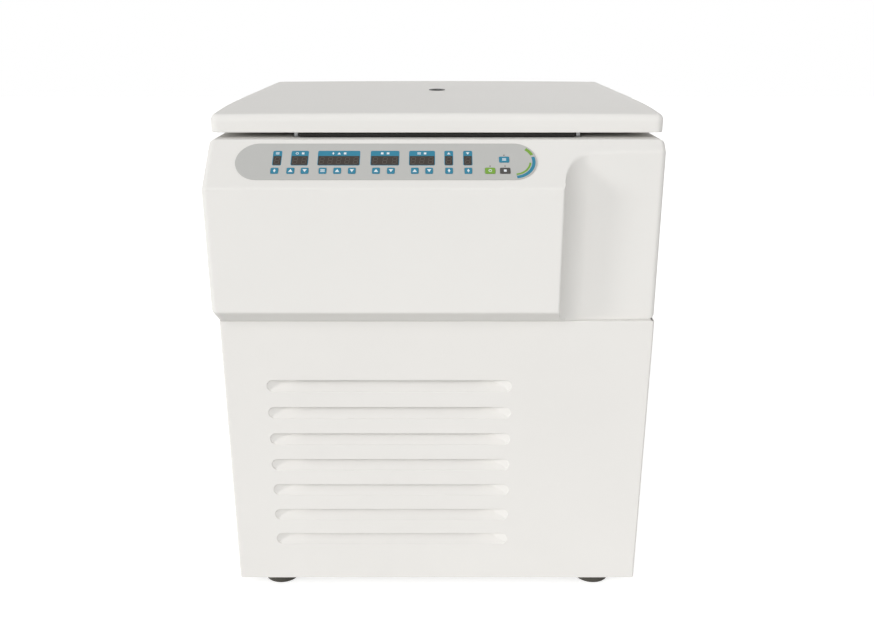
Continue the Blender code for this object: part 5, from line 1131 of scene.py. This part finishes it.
class CENTRIFUGE_OT_control_panel(bpy.types.Operator):
    """Make the panel film with its windows, headers, signs, lamps and accent"""

    bl_idname = "centrifuge.control_panel"
    bl_label = "Control panel"

    def execute(self, context):
        shape = context.scene.centrifuge_shape
        radius = (PANEL_HIGH - PANEL_LOW) / 2
        right = PANEL_LEFT + PANEL_WIDTH
        outline, _ = round_rect(PANEL_LEFT, right, PANEL_LOW, PANEL_HIGH, radius, 24)
        holes = [key_outline(name, shape.key_gap)[0] for name in KEYS]
        inner = lay(SLOPE, 0.0, 0.048, -0.05)
        piece(
            "panel_film", [holed(SLOPE, outline, holes, FILM_TOP)], ["panel_print"], "root", "control_overlay",
            wall=0.0007, inner=inner, even=False,
        )
        headers, windows, digits, signs = [], [], [], []
        header_levels = [(0, FILM_TOP - PRINT), (0, FILM_TOP + PRINT)]
        window_levels = [(0, FILM_TOP), (0, FILM_TOP + 0.00018), (0.0001, FILM_TOP + 0.00022)]
        digit_s = (WINDOW_LOW + WINDOW_HIGH) / 2
        header_s = (WINDOW_HIGH + HEADER_HIGH) / 2
        for first, last, count, sign in WINDOWS:
            left, end = across(first), across(last)
            plate, normal = round_rect(left, end, WINDOW_LOW - 0.0008, HEADER_HIGH, 0.0024, 6)
            headers.append(slab(SLOPE, plate, header_levels, 0, normal))
            pane, own = round_rect(left + WINDOW_RIM, end - WINDOW_RIM, WINDOW_LOW, WINDOW_HIGH, 0.0006, 3)
            windows.append(slab(SLOPE, pane, window_levels, 0, own))
            cell = (end - left) / count
            for i in range(count):
                digits += digit_patches(left + cell * (i + 0.5), digit_s, FILM_TOP + PRINT, FILM_TOP + 0.00026)
            spread = [0.0] if count == 1 else ([-0.5, 0.5] if count < 5 else [-1.0, 0.0, 1.0])
            for k in spread:
                kind = sign if k == spread[0] else "square" if k else "up"
                x = (left + end) / 2 + 0.0085 * k
                signs += sign_patches(kind, x, header_s, 0.0050, FILM_TOP, FILM_TOP + 0.00016)
        piece("panel_headers", headers, ["teal_print"], "root")
        piece("panel_windows", windows, ["window_smoke"], "root")
        piece("panel_idle_digits", digits, ["idle_segment"], "root")
        piece("panel_signs", signs, ["sign_print"], "root")
        lamp_levels = [(0, FILM_TOP), (0, FILM_TOP + 0.0002), (0.0003, FILM_TOP + 0.0003)]
        lamps = [slab(SLOPE, circle(across(share), s, 0.0009, 16), lamp_levels) for share, s in LAMPS]
        piece("panel_lamps", lamps, ["lamp_off"], "root")
        centre = (right - radius, (PANEL_LOW + PANEL_HIGH) / 2)
        arcs = [
            band(SLOPE, centre, inner_r, outer_r, FILM_TOP - PRINT, FILM_TOP + PRINT, start, turn, 32, mark)
            for inner_r, outer_r, start, turn, mark in ACCENT
        ]
        piece("panel_accent", arcs, ["teal_print", "green_print"], "root")
        return {"FINISHED"}


class CENTRIFUGE_OT_keys(bpy.types.Operator):
    """Make the fifteen key caps with their signs"""

    bl_idname = "centrifuge.keys"
    bl_label = "Keys"

    def execute(self, context):
        levels = [
            (0, 0.0006), (0, KEY_TOP - 0.0003), (0.00009, KEY_TOP - 0.0001), (0.0003, KEY_TOP), (0.0012, KEY_TOP),
        ]
        for name, (share, row, wide, sign, finish, slot) in KEYS.items():
            outline, normal = key_outline(name)
            size = 0.0062 if wide == SMALL_KEY else 0.0056
            patches = [slab(SLOPE, outline, levels, 0, normal)]
            patches += sign_patches(sign, across(share), row, size, KEY_TOP - PRINT, KEY_TOP + 0.00006, 1)
            piece(name.replace("key_", "cap_"), patches, [finish, "sign_print"], name, name)
        return {"FINISHED"}


# Chamber and rotor


class CENTRIFUGE_OT_chamber(bpy.types.Operator):
    """Make the seamless rotor bowl and its sealing ring"""

    bl_idname = "centrifuge.chamber"
    bl_label = "Chamber"

    def execute(self, context):
        rim_z = span("chamber_bowl")[1][2]
        centre = (0, ROTOR_Y, 0)
        floor_z = 0.545
        profile = fillet(
            [
                (0.222, rim_z), (0.205, rim_z, 0.003), (0.205, floor_z, 0.030),
                (0.032, floor_z, 0.004), (0.032, floor_z + 0.010),
            ],
            10,
        )
        piece(
            "bowl_lining", [turned(profile, centre, 144)], ["stainless"], "root", "chamber_bowl",
            wall=0.0012, inner=(0, ROTOR_Y, -5.0), even=False,
        )
        base, top = (corner[2] for corner in span("chamber_gasket"))
        ring = fillet(
            [
                (0.2096, base), (0.2194, base), (0.2194, base + 0.0025, 0.0006), (0.2182, base + 0.0030),
                (0.2182, top, 0.0022), (0.2108, top, 0.0022), (0.2108, base + 0.0030), (0.2096, base + 0.0025, 0.0006),
            ],
            6,
        )
        piece(
            "chamber_seal", [turned(ring, centre, 144, closed=True)], ["seal_rubber"], "root", "chamber_gasket",
        )
        return {"FINISHED"}


QUARTERS = [np.array([[c, -s, 0], [s, c, 0], [0, 0, 1]], float) for c, s in ((1, 0), (0, 1), (-1, 0), (0, -1))]


class CENTRIFUGE_OT_rotor(bpy.types.Operator):
    """Make the cast yoke with its four waisted arms, end blocks and pins, and the knurled nut"""

    bl_idname = "centrifuge.rotor"
    bl_label = "Rotor"

    def execute(self, context):
        hub = fillet(
            [
                (0.0093, 0.640), (0.030, 0.640, 0.003), (0.030, 0.690, 0.004), (0.0063, 0.690), (0.0063, PIVOT_Z),
                (0.0093, PIVOT_Z),
            ],
            8,
        )
        patches = [turned(hub, (0, ROTOR_Y, 0), 96, closed=True)]
        section, own = round_rect(-0.012, 0.012, -0.010, 0.010, 0.0035, 6)
        waist = [
            (0, 0.024), (0, 0.036), (0.0009, 0.046), (0.0024, 0.060),
            (0.0024, 0.098), (0.0009, 0.112), (0, 0.122), (0, 0.139),
        ]
        block, block_own = round_rect(0.082, 0.104, 0.082, 0.104, 0.005, 6)
        levels = [(0.0015, 0.6535), (0.0004, 0.6540), (0, 0.655), (0, 0.675), (0.0004, 0.6760), (0.0015, 0.6765)]
        pin = np.array([(0, 0.0485), (0.0042, 0.0485), (0.005, 0.0493), (0.005, 0.090), (0, 0.090)])
        for quarter in QUARTERS:
            way = quarter @ np.array([1.0, 1.0, 0.0])
            on = plane((0, ROTOR_Y, PIVOT_Z), np.cross((0, 0, 1), way), (0, 0, 1), way)
            patches.append(slab(on, section, waist, normals=own))
            parts = [slab(LEVEL, block, levels, normals=block_own)]
            parts.append(turned(pin, (PIVOT_RADIUS, 0, PIVOT_Z), 28, axis=1))
            parts.append(turned(pin, (0, PIVOT_RADIUS, PIVOT_Z), 28, axis=0))
            patches += [moved(part, quarter, (0, ROTOR_Y, 0)) for part in parts]
        piece("cast_yoke", patches, ["cast_aluminium"], "rotor", "rotor_yoke")
        profile = fillet(
            [
                (0.0, 0.7016), (0.0063, 0.7016), (0.0063, 0.6903), (0.0170, 0.6903, 0.0008), (0.0170, 0.7085, 0.0012),
                (0.0150, 0.7123, 0.0012), (0.0065, 0.7123, 0.0006), (0.0055, 0.7100), (0.0, 0.7100),
            ],
            5,
        )
        points, faces, mark = turned(profile, (0, 0, 0), 144)
        reach = np.hypot(points[:, 0], points[:, 1])
        grip = (reach > 0.0166) & (points[:, 2] > 0.6925) & (points[:, 2] < 0.7082)
        knurl = 0.022 * (0.5 + 0.5 * np.cos(36 * np.arctan2(points[:, 1], points[:, 0])))
        points[:, :2] *= np.where(grip, 1 - knurl, 1)[:, None]
        nut = (points + np.array([0, ROTOR_Y, 0]), faces, mark)
        piece("rotor_hand_nut", [nut], ["screw_steel"], "rotor", "rotor_nut")
        return {"FINISHED"}


class CENTRIFUGE_OT_buckets(bpy.types.Operator):
    """Make the four turned buckets with rolled rims and hooked ears"""

    bl_idname = "centrifuge.buckets"
    bl_label = "Buckets"

    def execute(self, context):
        wide = 0.045
        cup = fillet(
            [
                (0.0, -0.090), (wide, -0.090, 0.009), (wide, 0.0105, 0.001), (wide + 0.0008, 0.0120, 0.001),
                (wide + 0.0008, 0.020, 0.0012), (wide - 0.003, 0.020, 0.0010), (wide - 0.003, -0.085, 0.007),
                (0.0, -0.085),
            ],
            7,
        )
        seat = np.linspace(PI, 0, 15)
        notch = [(0.0053 * np.cos(t), 0.0053 * np.sin(t)) for t in seat]
        ear = fillet(
            [(-0.011, -0.016, 0.0015), (-0.0053, -0.016, 0.0008)] + notch
            + [(0.0053, -0.016, 0.0008), (0.011, -0.016, 0.0015), (0.011, 0.009, 0.004), (-0.011, 0.009, 0.004)],
            6, closed=True,
        )
        levels = [(0, 0.0430), (0, 0.0513), (0.0002, 0.0518), (0.0007, 0.0520)]
        for index, quarter in enumerate(QUARTERS, 1):
            patches = [turned(cup, (0, 0, 0), 96)]
            for side in (-1, 1):
                patches.append(slab(plane((0, 0, 0), (-side, 0, 0), (0, 0, 1), (0, side, 0)), ear, levels))
            shift = quarter @ np.array([PIVOT_RADIUS, 0, 0]) + np.array([0, ROTOR_Y, PIVOT_Z])
            node = "bucket_%d" % index
            piece(
                "swing_" + node, [moved(patch, quarter, shift) for patch in patches], ["bucket_steel"], node, node,
            )
        return {"FINISHED"}


PROFILE = plane((0, HINGE_Y, HINGE_Z), (0, 1, 0), (0, 0, 1), (1, 0, 0))


class CENTRIFUGE_OT_hinge(bpy.types.Operator):
    """Make the hinge: the lid's bar with arms and knuckles, the bracket's strip with lugs, and the shaft"""

    bl_idname = "centrifuge.hinge"
    bl_label = "Hinge"

    def execute(self, context):
        half = 0.018
        bar, own = round_rect(-HINGE_X - half, HINGE_X + half, 0.2839, 0.3179, 0.004, 6)
        frame_parts = [slab(LEVEL, bar, eased(0.758, 0.761, 0.0003), normals=own)]
        strip, strip_own = round_rect(-0.1893, 0.1893, 0.324, 0.342, 0.003, 6)
        bracket = [slab(LEVEL, strip, [(0, 0.7478), (0, 0.7500), (0.0003, 0.7503)], normals=strip_own)]
        knuckle = fillet([(0.0053, -half), (0.0095, -half, 0.0008), (0.0095, half, 0.0008), (0.0053, half)], 4)
        angles = np.linspace(-0.6435, PI + 0.6435, 40)
        dome = 0.0095 * np.stack([np.cos(angles), np.sin(angles)], -1)
        lug = np.vstack([[(-0.0076, -0.0152), (0.0076, -0.0152)], dome])
        arm = fillet(
            [
                (-0.0181, -0.0055), (-0.0151, -0.0055), (-0.0151, -0.0015, 0.001), (0.0, -0.0015), (0.0, 0.0015),
                (-0.0181, 0.0015, 0.003),
            ],
            5, closed=True,
        )
        for x in (-HINGE_X, HINGE_X):
            frame_parts.append(turned(knuckle, (x, HINGE_Y, HINGE_Z), 64, axis=0, closed=True))
            frame_parts.append(slab(PROFILE, arm, eased(x - half, x + half, 0.0003)))
            for near in (-1, 1):
                start, end = sorted((x + near * (half + 0.0003), x + near * (half + 0.0063)))
                bracket.append(slab(PROFILE, lug, eased(start, end, 0.0006)))
        piece("hinge_bar", frame_parts, ["zinc_plate"], "lid", "lid_hinge_frame")
        piece("hinge_lugs", bracket, ["zinc_plate"], "root", "hinge_bracket")
        end = 0.1933
        rod = np.array([
            (0, -end), (0.0042, -end), (0.005, 0.0008 - end), (0.005, end - 0.0008), (0.0042, end), (0, end),
        ])
        piece(
            "hinge_rod", [turned(rod, (0, HINGE_Y, HINGE_Z), 40, axis=0)], ["screw_steel"], "root", "hinge_shaft",
        )
        return {"FINISHED"}


class CENTRIFUGE_OT_feet(bpy.types.Operator):
    """Make the four levelling feet: dished pad, lock nut and threaded stud"""

    bl_idname = "centrifuge.feet"
    bl_label = "Levelling feet"

    def execute(self, context):
        nut_top = 0.0188
        for name in FEET:
            top = span(name)[1][2]
            centre = middle_of(name) * (1, 1, 0)
            pad = fillet(
                [
                    (0.0, 0.0), (0.0290, 0.0, 0.0010), (0.0300, 0.0100, 0.0022), (0.0275, 0.0110, 0.0010),
                    (0.0150, 0.0125, 0.0015), (0.0120, 0.0128), (0.0, 0.0128),
                ],
                5,
            )
            patches = [turned(pad, centre, 64)]
            across_flats = circle(centre[0], centre[1], 0.0108, 6)
            patches.append(slab(LEVEL, across_flats, eased(0.0128, nut_top, 0.0006), 1))
            reach = np.where(np.arange(25) % 2 == 0, 0.0060, 0.0053)
            thread = np.stack([reach, np.linspace(nut_top, top, 25)], -1)
            stud = np.vstack([[(0.0, nut_top)], thread, [(0.0, top)]])
            patches.append(turned(stud, centre, 24, material=1))
            piece(name + "_pad", patches, ["foot_rubber", "zinc_plate"], "root", name)
        return {"FINISHED"}


ROCKER_TILT = 7.0


class CENTRIFUGE_OT_rear_details(bpy.types.Operator):
    """Make the rear panel's screws, the deck's rear lip and the power inlet with its rocker"""

    bl_idname = "centrifuge.rear_details"
    bl_label = "Rear details"

    def execute(self, context):
        low, high = span("rear_panel")
        spots = [(x, high[1], z) for x in (low[0] + 0.012, high[0] - 0.012) for z in (0.045, 0.20, 0.36, 0.52, 0.72)]
        spots += [(x, high[1], z) for x in (-0.17, 0.0, 0.17) for z in (0.040, 0.728)]
        piece("rear_screws", screw_heads(spots, (0, 1, 0)), ["screw_steel"], "root")
        rear = plane((0, 0, 0), (-1, 0, 0), (0, 0, 1), (0, 1, 0))
        wide, top = 0.3304, 0.7459
        lip = fillet([(-wide, 0.70), (wide, 0.70), (wide, top, 0.0075), (-wide, top, 0.0075)], 8, closed=True)
        lip_levels = [(0, 0.3419), (0, 0.3431)]
        piece("deck_rear_lip", [slab(rear, lip, lip_levels)], ["powder_coat"], "root")
        module_low, module_high = span("power_inlet")
        middle = (module_low + module_high) / 2
        face = module_high[1]
        on = plane((middle[0], 0, middle[2]), (-1, 0, 0), (0, 0, 1), (0, 1, 0))
        outline, own = round_rect(-0.033, 0.033, -0.025, 0.025, 0.006, 8)
        levels = [
            (0.005, module_low[1]), (0.005, 0.3453), (0, 0.3453), (0, face - 0.0012), (0.0004, face - 0.0004),
            (0.0012, face),
        ]
        socket = fillet(
            [(0.001, -0.010, 0.001), (0.027, -0.010, 0.001), (0.027, 0.010, 0.005), (0.001, 0.010, 0.005)],
            6, closed=True,
        )
        bay, _ = round_rect(-0.018 - 0.0068, -0.018 + 0.0068, -0.0136, 0.0136, 0.0008, 4)
        blade_levels = [(0, face - 0.0224), (0, face - 0.0055), (0.0004, face - 0.005)]
        patches = pocketed(on, outline, own, levels, [(socket, 0.022), (bay, 0.020)])
        for x, up in ((0.007, -0.003), (0.021, -0.003), (0.014, 0.003)):
            blade, blade_own = round_rect(x - 0.001, x + 0.001, up - 0.0025, up + 0.0025, 0.0004, 3)
            patches.append(slab(on, blade, blade_levels, 1, blade_own))
        piece("inlet_module", patches, ["black_plastic", "zinc_plate"], "root", "power_inlet")
        rocker_low, rocker_high = span("power_rocker")
        pivot = np.array([face - 0.0045, middle[2]])
        tilt = np.radians(ROCKER_TILT)
        turn = np.array([[np.cos(tilt), -np.sin(tilt)], [np.sin(tilt), np.cos(tilt)]])
        outline = fillet(
            [
                (-0.0068, -0.00645, 0.0006), (0.0022, -0.0129, 0.0009), (0.0, 0.0, 0.05), (0.0022, 0.0129, 0.0009),
                (-0.0068, 0.00645, 0.0006),
            ],
            8, closed=True,
        ) @ turn.T + pivot
        side_on = plane((0, 0, 0), (0, 1, 0), (0, 0, 1), (1, 0, 0))
        cap = slab(side_on, outline, eased(rocker_low[0], rocker_high[0], 0.0004))
        piece("rocker_cap", [cap], ["black_plastic"], "power_rocker", "power_rocker")
        return {"FINISHED"}


# Stage

CAMERA_AT = (0, -1.5938, 0.9203)
CAMERA_PITCH = 18.99


class CENTRIFUGE_OT_stage(bpy.types.Operator):
    """Make the pale floor, the even light, four soft suns and the camera"""

    bl_idname = "centrifuge.stage"
    bl_label = "Stage"

    def execute(self, context):
        stage = context.scene.centrifuge_stage
        scene = context.scene
        mesh = bpy.data.meshes.new("floor")
        mesh.from_pydata([(-9, -9, 0), (9, -9, 0), (9, 9, 0), (-9, 9, 0)], [], [(0, 1, 2, 3)])
        floor = bpy.data.objects.new("floor", mesh)
        scene.collection.objects.link(floor)
        pale = bpy.data.materials.new("pale_floor")
        pale.use_nodes = True
        tree = pale.node_tree
        tree.nodes.remove(tree.nodes["Principled BSDF"])
        diffuse = add_node(tree, "ShaderNodeBsdfDiffuse", {"Color": (0.80, 0.80, 0.795, 1)})
        level = add_node(
            tree, "ShaderNodeMath", {1: stage.floor_glow}, {0: self.seen_rays(tree)}, operation="MULTIPLY"
        )
        glow = add_node(tree, "ShaderNodeEmission", links={"Strength": level.outputs[0]})
        both = add_node(tree, "ShaderNodeAddShader", links={0: diffuse.outputs[0], 1: glow.outputs[0]})
        tree.links.new(both.outputs[0], tree.nodes["Material Output"].inputs["Surface"])
        mesh.materials.append(pale)

        world = bpy.data.worlds.new("studio")
        world.use_nodes = True
        scene.world = world
        tree = world.node_tree
        place = add_node(tree, "ShaderNodeTexCoord")
        split = add_node(tree, "ShaderNodeSeparateXYZ", links={0: place.outputs["Generated"]})
        fade = add_node(
            tree, "ShaderNodeMapRange", {"To Min": stage.ambient, "To Max": stage.zenith},
            {"Value": split.outputs["Z"]},
        )
        level = add_node(
            tree, "ShaderNodeMapRange", {"To Max": 1.0}, {"To Min": fade.outputs[0], "Value": self.seen_rays(tree)}
        )
        ground = tree.nodes["Background"]
        ground.inputs["Color"].default_value = (1, 1, 1, 1)
        tree.links.new(level.outputs[0], ground.inputs["Strength"])

        key = self.sun("key", stage.key_light, stage.key_spread, (-0.38, -0.82, 0.42))
        self.sun("left", stage.left_light, 0.22, (-0.86, -0.42, 0.18))
        self.sun("right", stage.side_light, 0.5, (0.90, -0.34, 0.24))
        rear = self.sun("rear", stage.rear_light, 0.6, (0.25, 0.95, 0.08))
        key.visible_glossy = rear.visible_glossy = False

        data = bpy.data.cameras.new("view")
        data.lens = stage.lens
        data.sensor_width = 36.0
        camera = bpy.data.objects.new("view", data)
        camera.location = CAMERA_AT
        camera.rotation_euler = (np.radians(90 - CAMERA_PITCH), 0, 0)
        scene.collection.objects.link(camera)
        scene.camera = camera
        scene.view_settings.view_transform = "Standard"
        return {"FINISHED"}

    @staticmethod
    def seen_rays(tree):
        """1 for camera, glossy and transmission rays, else 0."""
        path = add_node(tree, "ShaderNodeLightPath").outputs
        seen = path["Is Camera Ray"]
        for kind in ("Is Glossy Ray", "Is Transmission Ray"):
            seen = add_node(tree, "ShaderNodeMath", links={0: seen, 1: path[kind]}, operation="MAXIMUM").outputs[0]
        return seen

    @staticmethod
    def sun(name, strength, spread, towards):
        """A sun lamp that shines from a direction, and the lamp itself."""
        data = bpy.data.lights.new(name, "SUN")
        data.energy = strength
        data.angle = spread
        lamp = bpy.data.objects.new(name, data)
        way = np.array(towards) / np.linalg.norm(towards)
        lamp.rotation_euler = (np.arccos(way[2]), 0, np.arctan2(way[0], -way[1]))
        bpy.context.scene.collection.objects.link(lamp)
        return lamp


# Panel and registration

STEPS = (
    CENTRIFUGE_OT_stage,
    CENTRIFUGE_OT_node_finishes,
    CENTRIFUGE_OT_lid_cover,
    CENTRIFUGE_OT_lid_inside,
    CENTRIFUGE_OT_sight_port,
    CENTRIFUGE_OT_front_moulding,
    CENTRIFUGE_OT_upper_casing,
    CENTRIFUGE_OT_lower_casing,
    CENTRIFUGE_OT_control_panel,
    CENTRIFUGE_OT_keys,
    CENTRIFUGE_OT_chamber,
    CENTRIFUGE_OT_rotor,
    CENTRIFUGE_OT_buckets,
    CENTRIFUGE_OT_hinge,
    CENTRIFUGE_OT_feet,
    CENTRIFUGE_OT_rear_details,
)


class CENTRIFUGE_PT_sidebar(bpy.types.Panel):
    """Lists the operators and the settings"""

    bl_idname = "CENTRIFUGE_PT_sidebar"
    bl_label = "Centrifuge"
    bl_space_type = "VIEW_3D"
    bl_region_type = "UI"
    bl_category = "Centrifuge"

    def draw(self, context):
        column = self.layout.column()
        for step in STEPS:
            column.operator(step.bl_idname)
        for group in (
            context.scene.centrifuge_colours, context.scene.centrifuge_shape, context.scene.centrifuge_stage
        ):
            box = self.layout.box()
            for name in group.__annotations__:
                box.prop(group, name)


CLASSES = (CentrifugeColours, CentrifugeShape, CentrifugeStage) + STEPS + (CENTRIFUGE_PT_sidebar,)


def register():
    """Registers the classes and puts the settings on the scene."""
    for item in CLASSES:
        bpy.utils.register_class(item)
    bpy.types.Scene.centrifuge_colours = PointerProperty(type=CentrifugeColours)
    bpy.types.Scene.centrifuge_shape = PointerProperty(type=CentrifugeShape)
    bpy.types.Scene.centrifuge_stage = PointerProperty(type=CentrifugeStage)


def unregister():
    """Takes the settings and the classes away again."""
    del bpy.types.Scene.centrifuge_stage
    del bpy.types.Scene.centrifuge_shape
    del bpy.types.Scene.centrifuge_colours
    for item in reversed(CLASSES):
        bpy.utils.unregister_class(item)


def main():
    """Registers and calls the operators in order."""
    register()
    for step in STEPS:
        area, name = step.bl_idname.split(".")
        getattr(getattr(bpy.ops, area), name)()


if __name__ == "__main__":
    main()
